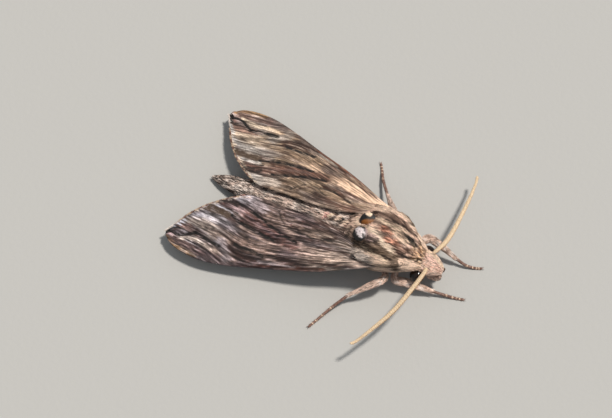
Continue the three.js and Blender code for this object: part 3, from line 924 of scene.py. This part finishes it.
def vein_relief(u, v):
    """Raised veins that run to the outer edge, with shallow furrows between them."""
    outer = ease(u, 0.42, 0.55)
    fan = 0.5 + 0.5 * np.cos(TURN * (lie(u, v)[1] / VEIN_GAP))
    relief = 0.14 * outer * fan**6 - 0.05 * outer * (1 - fan)
    for middle, width in ((0.06, 0.02), (0.2, 0.022), (0.56, 0.024), (0.86, 0.02)):
        relief += 0.13 * (1 - outer) * np.exp(-(((v - middle - 0.03 * u) / width) ** 2))
    plan = forewing_point(u, v)[:, :2]
    for line in GROOVES:
        relief -= 0.2 * near_line(plan, on_wing(line), 0.7, 0.6)
    return relief


def wing_plate(point, columns, rows, relief):
    """A closed plate: an upper sheet with the relief, a lower one, and a shared rim."""
    a, b = np.meshgrid(np.linspace(0, 1, columns), np.linspace(0, 1, rows), indexing="ij")
    a, b = a.ravel(), b.ravel()
    up = surface_normal(point, a, b)
    middle = point(a, b)
    rim = (a == 0) | (a == 1) | (b == 0) | (b == 1)
    edge = ease(np.minimum.reduce([a * columns, (1 - a) * columns, b * rows, (1 - b) * rows]), 0, 3)
    ripple = 0.3 * (surface_noise(a * 7, b * 9, 21) - 0.5) * ease(np.minimum(a, 1 - a), 0, 0.2)
    middle = middle + up * ripple[:, None]
    raised = relief(a, b)
    top = middle + up * (edge * WING_HALF + edge * raised)[:, None]
    bottom = (middle - up * (edge * WING_HALF - 0.6 * edge * raised)[:, None])[~rim]
    lower = np.arange(len(top))
    lower[~rim] = len(top) + np.arange(len(bottom))
    faces = grid_faces(columns, rows)
    faces = np.vstack([faces, lower[faces][:, ::-1]])
    shares = np.stack([a, b], -1)
    shares = np.vstack([shares, shares[~rim]])
    return np.vstack([top, bottom]), faces, shares, np.repeat([1.0, 0.0], [len(top), len(bottom)])


def make_wing(name, side, point, colour, steps, relief, rows, material):
    points, faces, shares, upper = wing_plate(point, *steps, relief)
    if side < 0:
        faces = faces[:, ::-1]
    piece = add_mesh(name + "_scaled", sided(points, side), faces)
    tint = colour(shares[:, 0], shares[:, 1])
    below = mixed(mixed(tint, PALE, 0.7), PINK_TAN, 0.3)
    paint(piece, tint * upper[:, None] + below * (1 - upper)[:, None])
    unwrap(piece, np.stack(rows(shares[:, 0], shares[:, 1]), -1) / SPAN, "span")
    finish_piece(piece, material, [name])


def wing_hairs(name, side, material, starts, reach, width, count, tint, seed, sway=0.25):
    """Fine locks that lie in the wing's plane and stand out over one of its edges."""
    rng = np.random.default_rng(seed)
    s = rng.random(count)
    u, v, du, dv = starts(s)
    root = forewing_point(u, v)
    normal = surface_normal(forewing_point, clamp(u), clamp(v))
    flow = unit(forewing_point(u + du, v + dv) - forewing_point(u - du, v - dv))
    flow = unit(flow + rng.normal(0, sway, (count, 1)) * np.cross(normal, flow))
    root = root + normal * rng.uniform(-0.06, 0.12, (count, 1))
    length = reach * rng.uniform(0.6, 1.1, count)
    colours = tint(u, v) * rng.uniform(0.6, 1.3, (count, 1))
    patch = np.stack([0.02 + 0.96 * s, rng.uniform(0.05, 0.95, count)], -1)
    width = width * rng.uniform(0.7, 1.2, count)
    lift = rng.uniform(0, 0.08, count)
    root, normal, flow = sided(root, side), sided(normal, side), sided(flow, side)
    locks(name, root, normal, flow, length, width, lift, colours, patch, material, seed + 1)


def outer_edge(s):
    """Places on the outer edge, from the rear corner to the tip, and the way out over it."""
    return 0.7 + 0.3 * s, 0.97 - 0.02 * s, 0.004, 0.03


def inner_edge(s):
    return 0.05 + 0.6 * s, 0.965 + 0 * s, 0.02, 0.012


def chequered(u, v):
    pale = ease(np.abs(np.mod(u * 34, 1) - 0.5), 0.16, 0.3)
    tip = ease(u, 0.94, 0.96)
    return mixed(mixed(BROWN * 1.6, BUFF, 0.9 * pale), PALE * 1.1, tip)


def hind_relief(a, b):
    return 0.06 * (0.5 + 0.5 * np.cos(TURN * b * 7)) ** 6


def hind_lie(a, b):
    return 40 * a, 12 * b


def make_wings(scales, hindscales, fur):
    for name, side in SIDES.items():

        def tint(u, v):
            return forewing_colour(u, v, side)

        make_wing(
            f"forewing_{name}", side, forewing_point, tint, (300, 136),
            vein_relief, lie, scales,
        )
        make_wing(
            f"hindwing_{name}", side, hindwing_point, hindwing_colour, (90, 50),
            hind_relief, hind_lie, hindscales,
        )
        wing_hairs(f"fringe_{name}", side, fur, outer_edge, 0.55, 0.11, 1500, chequered, 70 + side)
        wing_hairs(f"wing_hair_{name}", side, fur, inner_edge, 1.3, 0.11, 900, tint, 80 + side, 0.12)


# ---- the coat ----


def round_over(piece, normals, side, flow):
    """Shades each lock as a low round hair that takes the light as the body under it does."""
    across = [-0.5, 0.5, 0.0, -0.5, 0.5, 0.0, 0.0]
    ahead = [-0.1, -0.1, -0.1, 0.0, 0.0, 0.0, 0.25]
    lit = normals + np.array([0, 0, 0.5]) * clamp(normals[:, 2:3] * 2 + 1)
    facing = [unit(lit + side * (1.3 * a) + flow * b) for a, b in zip(across, ahead)]
    piece.data.normals_split_custom_set_from_vertices(np.stack(facing, 1).reshape(-1, 3).tolist())


PATCH = 0.003  # how much of the baked picture one lock takes
RISE = 2.2  # a lock rises and falls along its length as a sine does, up to this angle


def locks(name, roots, normals, flow, length, width, lift, colours, patch, material, seed, ends=(0.85, 1.2)):
    """Many tapered locks as one mesh: each has two rows of three points and a pointed tip.

    "ends" is how light the root and the tip are beside the middle: a painted shade at the root, where the
    locks lie over each other, and a painted highlight at the tip.
    """
    rng = np.random.default_rng(seed)
    count = len(roots)
    side = unit(np.cross(normals, flow))
    flow = unit(np.cross(side, normals))
    flow = unit(flow + side * rng.normal(0, 0.09, count)[:, None])
    side = unit(np.cross(normals, flow))
    rows, tints, uvs = [], [], []
    base, tip = ends
    for share, breadth in ((0.0, 0.75), (0.45, 1.0)):
        rise = lift * math.sin(share * RISE)
        centre = roots + flow * (length * share)[:, None] + normals * rise[:, None]
        for across, above in ((-0.5, 0.0), (0.5, 0.0), (0.0, 0.24)):
            reach = width * breadth
            rows.append(centre + side * (reach * across)[:, None] + normals * (reach * above)[:, None])
            # painted shade towards the root of each lock
            tints.append(colours * (base + (1 - base) * share * 2))
            within_patch = [across * (1 - share), share - 0.5 + above * 0.2 * (1 - share)]
            uvs.append(patch + np.array(within_patch) * PATCH)
    rows.append(roots + flow * length[:, None] + normals * (lift * math.sin(RISE))[:, None])
    # painted highlight at the tip of each lock
    tints.append(colours * tip)
    uvs.append(patch + np.array([0.0, 0.5]) * PATCH)
    points = np.stack(rows, 1).reshape(-1, 3)
    points[:, 2] = np.maximum(points[:, 2], 0.01)
    start = (np.arange(count) * 7)[:, None]
    quads = [start + np.array(q) for q in ((0, 1, 4, 3), (1, 2, 5, 4), (2, 0, 3, 5))]
    tips = [start + np.array(q) for q in ((3, 4, 6), (4, 5, 6), (5, 3, 6), (2, 1, 0))]
    piece = add_mesh(name, points, np.vstack(quads).tolist() + np.vstack(tips).tolist())
    round_over(piece, normals, side, flow)
    paint(piece, np.stack(tints, 1).reshape(-1, 3))
    unwrap(piece, np.stack(uvs, 1).reshape(-1, 2), "OFBake")
    finish_piece(piece, material, ())


SHOWS_AT = 0.6  # a lock shows from here to its tip, so it has the colour of that place


def strands(colours, rng):
    """Makes some locks darker and some paler than the rest."""
    pick = rng.random(len(colours))
    shade = np.where(pick < 0.19, 0.36, np.where(pick > 0.82, 1.5, rng.uniform(0.8, 1.2, len(colours))))
    return within(mixed(colours * shade[:, None], CREAM, 0.04 * (pick > 0.82)))


def body_coat(name, start, end, count, length, width, lift, material, seed, forward=False, keep=None):
    """Locks on a length of the body, from start to end, that lie back along it, or forward."""
    rng = np.random.default_rng(seed)
    t = rng.uniform(start, end, count * 3)
    turn = rng.uniform(-math.pi, math.pi, count * 3)
    half, top, bottom = along(BODY, t).T
    likely = half + (top - bottom) / 2
    chosen = rng.random(count * 3) < likely / likely.max()
    t, turn = t[chosen][:count], turn[chosen][:count]
    if keep is not None:
        kept = keep(body_point(turn, t))
        t, turn = t[kept], turn[kept]
    depth = coat_depth(t)
    root = body_point(turn, t, depth + 0.1)
    after, before = (body_point(turn, t + step, coat_depth(t + step)) for step in (0.05, -0.05))
    ahead = after - before
    across = body_point(turn + 0.02, t, depth) - body_point(turn - 0.02, t, depth)
    normal = unit(np.cross(ahead, across))
    _, top, bottom = along(BODY, t).T
    outward = unit(root - np.stack([tail_shift(t), t, (top + bottom) / 2], -1))
    normal *= np.sign((normal * outward).sum(1))[:, None]
    flow = unit(ahead) * (-1 if forward else 1) + outward * 0.02
    size = rng.uniform(0.65, 1.15, len(t))
    rise = lift(root) if callable(lift) else np.full(len(t), lift)
    long = length(root) if callable(length) else np.full(len(t), length)
    shown = clamp(t + long * size * SHOWS_AT * (-1 if forward else 1), BODY[0][0], BODY_END)
    colours = strands(body_colour(body_point(turn, shown)), rng)
    patch = patch_at(turn / TURN + 0.5, (t - start) / (end - start))
    width = width * rng.uniform(0.7, 1.25, len(t))
    rise = (depth + rise) * rng.uniform(0.55, 1.0, len(t))
    locks(name, root, normal, flow, long * size, width, rise, colours, patch, material, seed + 1)


def lump_coat(name, shape, side, count, length, width, inset, colour, material, seed, radial=False):
    """Locks over a rounded lump that lie back along it, or that spread from its top."""
    rng = np.random.default_rng(seed)
    directions = unit(rng.normal(0, 1, (count * 2, 3)))
    directions = directions[(directions[:, 2] > -0.35) & ((directions[:, 1] < 0.85) | radial)][:count]
    root = lump_point(shape, side, directions, inset + 0.06)
    normal = unit(turned(shape, side, directions / np.array(shape["half"])))
    flow = turned(shape, side, [0, 1, 0]) + np.array([0, 0, 0.5]) * ease(directions[:, 1:2], 0.1, -0.7)
    long = length * (0.22 + 0.78 * ease(directions[:, 1], -1.0, -0.45)) * beside_domes(root)
    if radial:
        flow = root - lump_point(shape, side, np.array([[0.0, -0.3, 0.9]]), inset) + flow * 0.2
        long = np.full(len(root), length)
    patch = np.stack([0.5 + 0.47 * directions[:, 0], 0.5 + 0.47 * directions[:, 1]], -1)
    if radial:
        colours = colour(root) * rng.uniform(0.8, 1.15, (len(root), 1))
    else:
        colours = strands(colour(root + unit(flow) * (long * SHOWS_AT)[:, None]), rng)
    long = long * rng.uniform(0.65, 1.15, len(root))
    width = width * rng.uniform(0.7, 1.2, len(root))
    lift = inset * rng.uniform(0.5, 0.95, len(root))
    locks(name, root, normal, flow, long, width, lift, colours, patch, material, seed + 1, (0.8, 1.1))


def rod_coat(name, points, radius, coat, count, length, width, colour, material, seed):
    """Locks on a leg or a palp that lie along it."""
    rng = np.random.default_rng(seed)
    share = rng.uniform(0, 1, count)
    turn = rng.uniform(-math.pi, math.pi, count)
    centre, ahead, _, _ = tube_frames(points, share)
    root = tube_point(points, turn, share, radius(share) - coat - 0.03)
    normal = unit(root - centre)
    colours = strands(colour(root), rng)
    patch = patch_at(turn / TURN + 0.5, share)
    length = length * rng.uniform(0.6, 1.15, count)
    width = width * rng.uniform(0.7, 1.2, count)
    lift = coat * rng.uniform(0.5, 1.15, count)
    locks(name, root, normal, ahead, length, width, lift, colours, patch, material, seed + 1)


def leg_colour(points):
    fleck = noise(points * 2.2, 15)
    colour = mixed(mixed(PINK_TAN, FACE, 0.75), BROWN, 0.45 * ease(fleck, 0.45, 0.32))
    colour = mixed(colour, PALE * 1.7, 0.7 * ease(fleck, 0.55, 0.7))
    # The legs on the right are painted lighter and those on the left darker: painted light on the right legs
    # and painted shade on the left ones.
    colour = colour * np.where(points[:, :1] < 0, 1.18, 0.85)
    return within(mixed(colour, GREY * 1.8, 0.5 * ease(points[:, 1], 10, 14)))


def palp_colour(points):
    return mixed(FACE * 0.9, RUST, 0.5 * ease(noise(points * 3, 9), 0.6, 0.7))


def bald(points):
    """1 on the rubbed top of the thorax, where only short scales are left."""
    rubbed = near_line(points[:, :2], [(0.9, 13.2), (0.6, 10.2), (-0.8, 11.6)], 2.4, 0.5)
    return rubbed * ease(points[:, 2], 9, 10.5)


def beside_domes(points):
    """1 in the open and towards 0 on the rim of a dome, where the fur is kept short."""
    gap = np.minimum(dome_nearness(points + [0, 0.5, 0], 1), dome_nearness(points + [0, 0.5, 0], -1))
    return 0.12 + 0.88 * ease(gap, 0.95, 2.3)


def make_coat(fur, dome_fur):
    def short_at_the_face(p):
        return 0.25 + 0.75 * ease(p[:, 1], 1.3, 4.0)

    def short_where_rubbed(p):
        return (2.6 - 1.5 * bald(p)) * beside_domes(p)

    def low_where_rubbed(p):
        return 0.05 - 0.4 * bald(p)

    def short_by_domes(p):
        return 2.2 * beside_domes(p)

    body_coat("coat_head", 1.15, 5.6, 7000, short_at_the_face, 0.1, 0.03, fur, 101, True, clear_of_eyes)
    body_coat("coat_collar", 4.6, 8.6, 7000, 1.5, 0.12, 0.08, fur, 103, keep=clear_of_eyes)
    body_coat("coat_thorax", 7.4, 17.0, 18500, short_where_rubbed, 0.13, low_where_rubbed, fur, 105)
    body_coat("coat_thorax_rear", 16, 22, 9500, short_by_domes, 0.13, 0.06, fur, 107, keep=clear_of_tufts)
    body_coat("coat_abdomen_front", 20.5, 35.0, 14000, 1.4, 0.14, 0.05, fur, 109)
    body_coat("coat_abdomen_rear", 34.0, 51.6, 11000, 1.4, 0.13, 0.04, fur, 111)
    for name, side in SIDES.items():
        lump_coat(f"coat_tegula_{name}", TEGULA, side, 5200, 2.4, 0.13, 0.35, body_colour, fur, 120 + side)
        lump_coat(
            f"coat_tuft_{name}", TUFT, side, 3000, 0.5, 0.11, 0.3,
            lambda p: tuft_colour(p, side), dome_fur, 130 + side, True,
        )
        rod_coat(
            f"coat_palp_{name}", sided(PALP, side), palp_radius, PALP_COAT, 1100, 0.5, 0.1,
            palp_colour, fur, 140 + side,
        )
        for number, pair in enumerate(LEGS):
            rod_coat(
                f"coat_leg_{pair}_{name}", limb_points(pair, name), lambda s: limb_radius(pair, s),
                LIMB_COAT, 2600, 0.95, 0.11, leg_colour, fur, 150 + 4 * number + side,
            )


def clear_of_eyes(points):
    """Keeps the roots off the bulge of the eyes."""
    mirror = np.column_stack([np.abs(points[:, 0]), points[:, 1:]])
    return np.linalg.norm(mirror - EYE_CENTRE, axis=1) > EYE_RADIUS + 0.35


def clear_of_tufts(points):
    """Keeps the roots out of the middles of the domes."""
    away = np.hypot(np.abs(points[:, 0]) - TUFT["centre"][0], points[:, 1] - TUFT["centre"][1])
    return (away > 1.35) | (points[:, 2] < 8.5)


# ---- eyes, feelers, feet and tongue ----

ANTENNAE = {
    "left": [
        (1.75, 3.9, 7.5),
        (2.9, 3.3, 8.0),
        (4.6, 2.65, 8.0),
        (8.3, 2.3, 7.2),
        (15.6, 2.3, 5.9),
        (20.6, 2.6, 4.8),
        (22.5, 3.0, 4.5),
    ],
    "right": [
        (-1.75, 3.9, 7.5),
        (-2.9, 3.8, 8.0),
        (-6.3, 4.5, 7.6),
        (-12.4, 6.1, 7.0),
        (-17.4, 8.3, 6.5),
        (-20.9, 10.1, 6.1),
        (-22.2, 11.0, 6.3),
    ],
}
FEELER_RINGS, FEELER_SIDES = 72, 28
STEPS_PER_RING = 9
FOOT_SIDES = 20
FOOT_JOINTS = np.array([0.38, 0.56, 0.7, 0.82, 1.0])
TONGUE = {"centre": (0, 3.0, 1.6), "thickness": 0.5, "turns": 2.0, "inner": 0.3, "pitch": 0.5, "start": 0.9}


def antenna_radius(share, inset):
    return 0.3 + 0.17 * np.sin(math.pi * np.minimum(share * 1.25, 1)) - 0.03 * share - inset


def flattened(turn):
    """A feeler is a little flatter from above than across."""
    return 1 - 0.16 * np.cos(turn) ** 2


def foot_radius(share, inset):
    return 0.27 + 0.08 * (1 - share) - inset


def antenna_shell(points):
    """A feeler of many short rings, each a little wider at its outer end and waisted at its foot."""
    share, turn = ring_grid(np.linspace(0, 1, FEELER_RINGS * STEPS_PER_RING + 1), FEELER_SIDES)
    step = np.mod(share * FEELER_RINGS, 1)
    waist = 0.13 * np.exp(-((np.minimum(step, 1 - step) / 0.1) ** 2)) - 0.03 * step
    hook = ease(share, 0.965, 1.0)
    radius = antenna_radius(share, 0.02) * (1 - waist) * (1 - 0.8 * hook)
    shell = tube_point(points, turn, share, radius * flattened(turn))
    shell, faces = closed_rod(shell, FEELER_SIDES, spline(points, [0, 1]))
    turn, up, step = (np.append(value, [0, 0]) for value in (turn, np.cos(turn), step))
    return shell, faces, np.append(share, [0, 1]), turn, up, step


def bristle_tree(material):
    """Bristles strewn over a surface: they lean along its "ahead" and are as dense as its "thick"."""
    growth = Growth("bristles", {"Density": 1.0, "Length": 0.001, "Width": 0.0001, "Lift": 0.5, "Seed": 1})
    given = growth.given
    density = growth.math("MULTIPLY", given["Density"], growth.attribute("thick", "FLOAT"))
    strewn = {"Mesh": given["Geometry"], "Density": density, "Seed": given["Seed"]}
    points = growth.add("GeometryNodeDistributePointsOnFaces", strewn, distribute_method="RANDOM")
    normal = points.node.outputs["Normal"]
    lean = {0: normal, 1: given["Lift"], 2: growth.attribute("ahead", "FLOAT_VECTOR")}
    lean = growth.add("ShaderNodeVectorMath", lean, operation="MULTIPLY_ADD")
    turn = growth.add("FunctionNodeAlignRotationToVector", {"Vector": lean}, axis="Z")
    size = {2: 0.6, 3: 1.15, "Seed": given["Seed"]}
    size = growth.add("FunctionNodeRandomValue", size, 1, data_type="FLOAT")
    long = growth.math("MULTIPLY", given["Length"], size)
    broad = growth.math("MULTIPLY", given["Width"], size)
    scale = growth.add("ShaderNodeCombineXYZ", {"X": broad, "Y": broad, "Z": long})
    cone = {"Vertices": 5, "Radius Top": 0.08, "Radius Bottom": 0.5, "Depth": 1.0}
    bristle = growth.add("GeometryNodeMeshCone", cone)
    put = {"Points": points, "Instance": bristle, "Rotation": turn, "Scale": scale}
    bristles = growth.add("GeometryNodeInstanceOnPoints", put)
    real = growth.add("GeometryNodeRealizeInstances", {0: bristles})
    place_in_map = growth.attribute("patch", "FLOAT_VECTOR")
    own = {0: bristle.node.outputs["UV Map"], 1: (PATCH, PATCH, 0), 2: place_in_map}
    own = growth.add("ShaderNodeVectorMath", own, operation="MULTIPLY_ADD")
    kept = {"Geometry": real, "Name": "OFBake", "Value": own}
    kept = growth.add("GeometryNodeStoreNamedAttribute", kept, data_type="FLOAT2", domain="CORNER")
    growth.end(kept, material)
    return growth


def set_values(piece, kind, **values):
    """Keeps a number or a direction for each point of a mesh under a name."""
    for name, value in values.items():
        layer = piece.data.attributes.new(name, kind, "POINT").data
        layer.foreach_set("value" if kind == "FLOAT" else "vector", np.asarray(value, np.float32).ravel())


def grow_bristles(bristles, name, shell, thick, ahead, patch, colour, fur, **sizes):
    """Bristles over the first points of a shell; the points with no values of their own grow none."""
    carrier = put("carrier", shell.data.copy())
    bare = len(carrier.data.vertices) - len(thick)
    set_values(carrier, "FLOAT", thick=np.pad(thick, (0, bare)))
    ahead, patch = np.pad(ahead, ((0, bare), (0, 0))), np.pad(patch, ((0, bare), (0, 1)))
    set_values(carrier, "FLOAT_VECTOR", ahead=ahead, patch=patch)
    piece = bristles.grow(name, carrier, sizes)
    bpy.data.objects.remove(carrier)
    flat = place(np.maximum(vertices_of(piece), [-np.inf, -np.inf, 0.01]))
    piece.data.vertices.foreach_set("co", flat.astype(np.float32).ravel())
    for spare in ("thick", "ahead", "patch", "tint"):
        piece.data.attributes.remove(piece.data.attributes[spare])
    paint(piece, colour(vertices_of(piece)))
    finish_piece(piece, fur, ())


def make_antenna(name, horn, fur, bristles):
    points = np.array(ANTENNAE[name])
    side = SIDES[name]
    shell, faces, share, turn, up, step = antenna_shell(points)
    piece = add_mesh(f"feeler_{name}", shell, faces)
    scales = mixed(CREAM * [0.78, 0.78, 0.68], PEACH * 0.8, ease(share, 0.5, 0.0))
    colour = mixed(mixed(RUST * 0.75, OCHRE, 0.4), scales, ease(up, -0.15, 0.25))
    colour = mixed(colour, BROWN, 0.5 * np.exp(-((np.minimum(step, 1 - step) / 0.12) ** 2)))
    colour = mixed(colour, BROWN, 0.5 * ease(share, 0.93, 0.98))
    paint(piece, colour)
    finish_piece(piece, horn, [f"antenna_{name}"])
    # scales above and fine bristles below
    rng = np.random.default_rng(200 + side)
    count = 2600
    s = rng.uniform(0.01, 0.975, count)
    a = rng.uniform(-1.25, 1.25, count)
    centre, ahead, _, _ = tube_frames(points, s)
    root = tube_point(points, a, s, antenna_radius(s, 0.05) * flattened(a))
    normal = unit(root - centre)
    colours = within(CREAM * [0.8, 0.8, 0.72] * rng.uniform(0.6, 1.2, (count, 1)))
    patch = patch_at(a / TURN + 0.5, s)
    length = 0.3 * rng.uniform(0.6, 1.1, count)
    width = 0.09 * rng.uniform(0.7, 1.2, count)
    lift = 0.02 + 0.05 * rng.random(count)
    scales = f"feeler_scales_{name}"
    locks(scales, root, normal, ahead, length, width, lift, colours, patch, fur, 210 + side)
    below = ease(up, 0.1, -0.3) * ease(share, 1.0, 0.97)
    ahead = tube_frames(points, share)[1]
    grow_bristles(
        bristles, f"feeler_bristles_{name}", piece, below, ahead, patch_at(turn / TURN, share),
        lambda p: OCHRE * (0.9 + 0.8 * noise(p * 4, 8))[:, None], fur,
        Density=6.5e7, Length=0.0002, Width=0.00004, Lift=1.1, Seed=220 + side,
    )


def make_eyes(glass):
    directions, faces = ball(96, 64)
    for name, side in SIDES.items():
        centre = sided(EYE_CENTRE, side)
        shell = directions * EYE_RADIUS * 0.985 + centre
        piece = add_mesh(f"eyeball_{name}", shell, faces)
        paint(piece, mixed(EYE_BROWN, BLACK * 0.5, ease(noise(shell * 1.1, 3), 0.4, 0.7)))
        finish_piece(piece, glass, [f"eye_{name}"])


def make_foot(pair, name, horn, fur, bristles):
    """A foot of five joints, with scales above, spines below and a pair of claws at its end."""
    points = sided(FEET[pair][name], SIDES[name])
    share, turn = ring_grid(np.linspace(0, 1, 90), FOOT_SIDES)
    waist = 0
    for joint in FOOT_JOINTS[:-1]:
        waist = waist + 0.24 * np.exp(-(((share - joint) / 0.014) ** 2))
        waist = waist - 0.1 * np.exp(-(((share - joint + 0.03) / 0.02) ** 2))
    radius = foot_radius(share, 0.03) * (0.92 - waist) * (1 - 0.35 * ease(share, 0.97, 1.0))
    shell, faces = closed_rod(tube_point(points, turn, share, radius), FOOT_SIDES, spline(points, [0, 1]))
    shell[:, 2] = np.maximum(shell[:, 2], 0.0)
    centre, ahead, across, up = (rows[0] for rows in tube_frames(points, np.array([0.97])))
    for way in (1, -1):
        claw = [centre + ahead * 0.1 + across * 0.08 * way + up * 0.02]
        claw.append(claw[0] + ahead * 0.22 + across * 0.12 * way + up * 0.1)
        claw.append(claw[0] + ahead * 0.42 + across * 0.17 * way - up * 0.02)
        hook, hook_faces = tube_mesh(claw, lambda q: 0.075 * (1 - 0.75 * q), 8, 8)
        hook[:, 2] = np.maximum(hook[:, 2], 0.0)
        faces += [[index + len(shell) for index in face] for face in hook_faces]
        shell = np.vstack([shell, hook])
    piece = add_mesh(f"tarsus_{pair}_{name}", shell, faces)
    paint(piece, mixed(BROWN * 1.5, PINK_TAN, 0.5 * ease(noise(shell * 5, 4), 0.4, 0.7)))
    finish_piece(piece, horn, [f"foot_{pair}_{name}"])
    rng = np.random.default_rng(300 + len(pair) + SIDES[name])
    count = 420
    s = rng.uniform(0.0, 0.93, count)
    a = rng.uniform(-2.2, 2.2, count)
    middle, ahead, _, _ = tube_frames(points, s)
    root = tube_point(points, a, s, foot_radius(s, 0.07))
    normal = unit(root - middle)
    pale = ease(np.min(np.abs(s[:, None] - FOOT_JOINTS + 0.035), axis=1), 0.035, 0.015)
    colours = mixed(BROWN * 1.6, CREAM, 0.8 * pale) * rng.uniform(0.75, 1.2, (count, 1))
    patch = patch_at(a / TURN + 0.5, s)
    length = 0.3 * rng.uniform(0.7, 1.1, count)
    width = np.full(count, 0.1)
    lift = 0.03 * rng.uniform(0.6, 1.1, count)
    locks(f"foot_scales_{pair}_{name}", root, normal, ahead, length, width, lift, colours, patch, fur, 310)
    share, turn = np.append(share, [0, 1]), np.append(turn, [0, 0])
    thick = ease(np.cos(turn), 0.6, 0.0) * ease(share, 0.95, 0.9) * ease(share, 0.0, 0.1)
    ahead = tube_frames(points, share)[1]
    grow_bristles(
        bristles, f"foot_spines_{pair}_{name}", piece, thick, ahead, patch_at(turn / TURN, share),
        lambda p: OLIVE * (1 + noise(p * 4, 8))[:, None], fur,
        Density=1.2e7, Length=0.00034, Width=0.00005, Lift=0.7, Seed=330 + SIDES[name],
    )


def make_tongue(horn):
    """The tongue, rolled up under the head like a watch spring."""
    outer = TONGUE["inner"] + TONGUE["pitch"] * TONGUE["turns"]
    sizes = {
        "Turns": TONGUE["turns"],
        "Inner": TONGUE["inner"] * MM,
        "Outer": outer * MM,
        "Thickness": TONGUE["thickness"] * MM,
    }
    growth = Growth("rolled tongue", sizes)
    given = growth.given
    spiral = {"Rotations": given["Turns"], "Start Radius": given["Inner"], "End Radius": given["Outer"]}
    coil = growth.add("GeometryNodeCurveSpiral", {"Resolution": 40, "Height": 0.0, **spiral})
    share = growth.add("GeometryNodeSplineParameter", {})
    girth = growth.math("MULTIPLY_ADD", share, 0.2)
    girth.node.inputs[2].default_value = 0.8
    coil = growth.add("GeometryNodeSetCurveRadius", {"Curve": coil, "Radius": girth})
    section = growth.math("MULTIPLY", given["Thickness"], 0.5)
    section = growth.add("GeometryNodeCurvePrimitiveCircle", {"Resolution": 20, "Radius": section})
    tube = growth.add("GeometryNodeCurveToMesh", {"Curve": coil, "Profile Curve": section, "Fill Caps": True})
    upright = Matrix(((0, 0, 1), (0, -1, 0), (1, 0, 0))) @ Matrix.Rotation(TONGUE["start"], 3, "Z")
    centre = place(TONGUE["centre"]).tolist()
    moved = {"Geometry": tube, "Translation": centre, "Rotation": upright.to_euler()}
    growth.end(growth.add("GeometryNodeTransform", moved), horn)
    seat = add_mesh("seat", [[0, 0, 0]], [])
    piece = growth.grow("tongue_coil", seat, sizes)
    bpy.data.objects.remove(seat)
    paint(piece, mixed(BROWN * 1.4, OCHRE, 0.35 * noise(vertices_of(piece) * 6, 2)))
    finish_piece(piece, horn, ["tongue"])


# ---- finishes ----


FUR_GRAIN = {"scale": 9000, "detail": 3, "dark": 0.78, "light": 1.2, "depth": 0.00005}
HORN_GRAIN = {"scale": 7000, "detail": 2, "dark": 0.8, "light": 1.15, "depth": 0.00003}


def grained(name, roughness, gloss, grain):
    """A finish mottled and roughened by a fine grain."""
    finish = Nodes(name, Roughness=roughness, Specular_IOR_Level=gloss)
    mottle = finish.noise(finish.place(), grain["scale"], grain["detail"])
    finish.show_tint(finish.spread(mottle, 0.3, 0.7, grain["dark"], grain["light"]))
    finish.bump(mottle, grain["depth"])
    return finish.material


def wing_finish(name):
    """Rows of overlapping scales, shown as a fine grain that runs along the wing."""
    scales = Nodes(name, Roughness=0.7, Specular_IOR_Level=0.28)
    along_wing = scales.noise(scales.uv("span", (98, 830, 1)), 1.0, 4, 0.7)
    grain = scales.noise(scales.place(), 7000, 3)
    streaks = scales.spread(along_wing, 0.34, 0.66, 0.66, 1.4)
    mottle = scales.spread(grain, 0.3, 0.7, 0.7, 1.3)
    scales.show_tint(scales.math("MULTIPLY", streaks, mottle))
    scales.bump(scales.math("ADD", along_wing, grain), 0.00006)
    return scales.material


def eye_finish():
    glass = Nodes("eye", Roughness=0.12, Specular_IOR_Level=0.32)
    facets = glass.add("TexVoronoi", Vector=glass.place(), Scale=11000.0).outputs["Distance"]
    glass.show_tint(glass.spread(facets, 0.0, 0.6, 1.2, 0.7))
    glass.bump(facets, 0.000012, 0.5)
    return glass.material


def main():
    set_up_studio()
    fur, horn = grained("fur", 0.78, 0.22, FUR_GRAIN), grained("horn", 0.45, 0.4, HORN_GRAIN)
    scales, hindscales = wing_finish("forewing scales"), wing_finish("hindwing scales")
    make_skin(fur)
    make_wings(scales, hindscales, fur)
    make_eyes(eye_finish())
    make_tongue(horn)
    bristles = bristle_tree(fur)
    for name in SIDES:
        make_antenna(name, horn, fur, bristles)
        for pair in LEGS:
            make_foot(pair, name, horn, fur, bristles)
    make_coat(fur, grained("dome scales", 0.42, 0.5, FUR_GRAIN))


main()
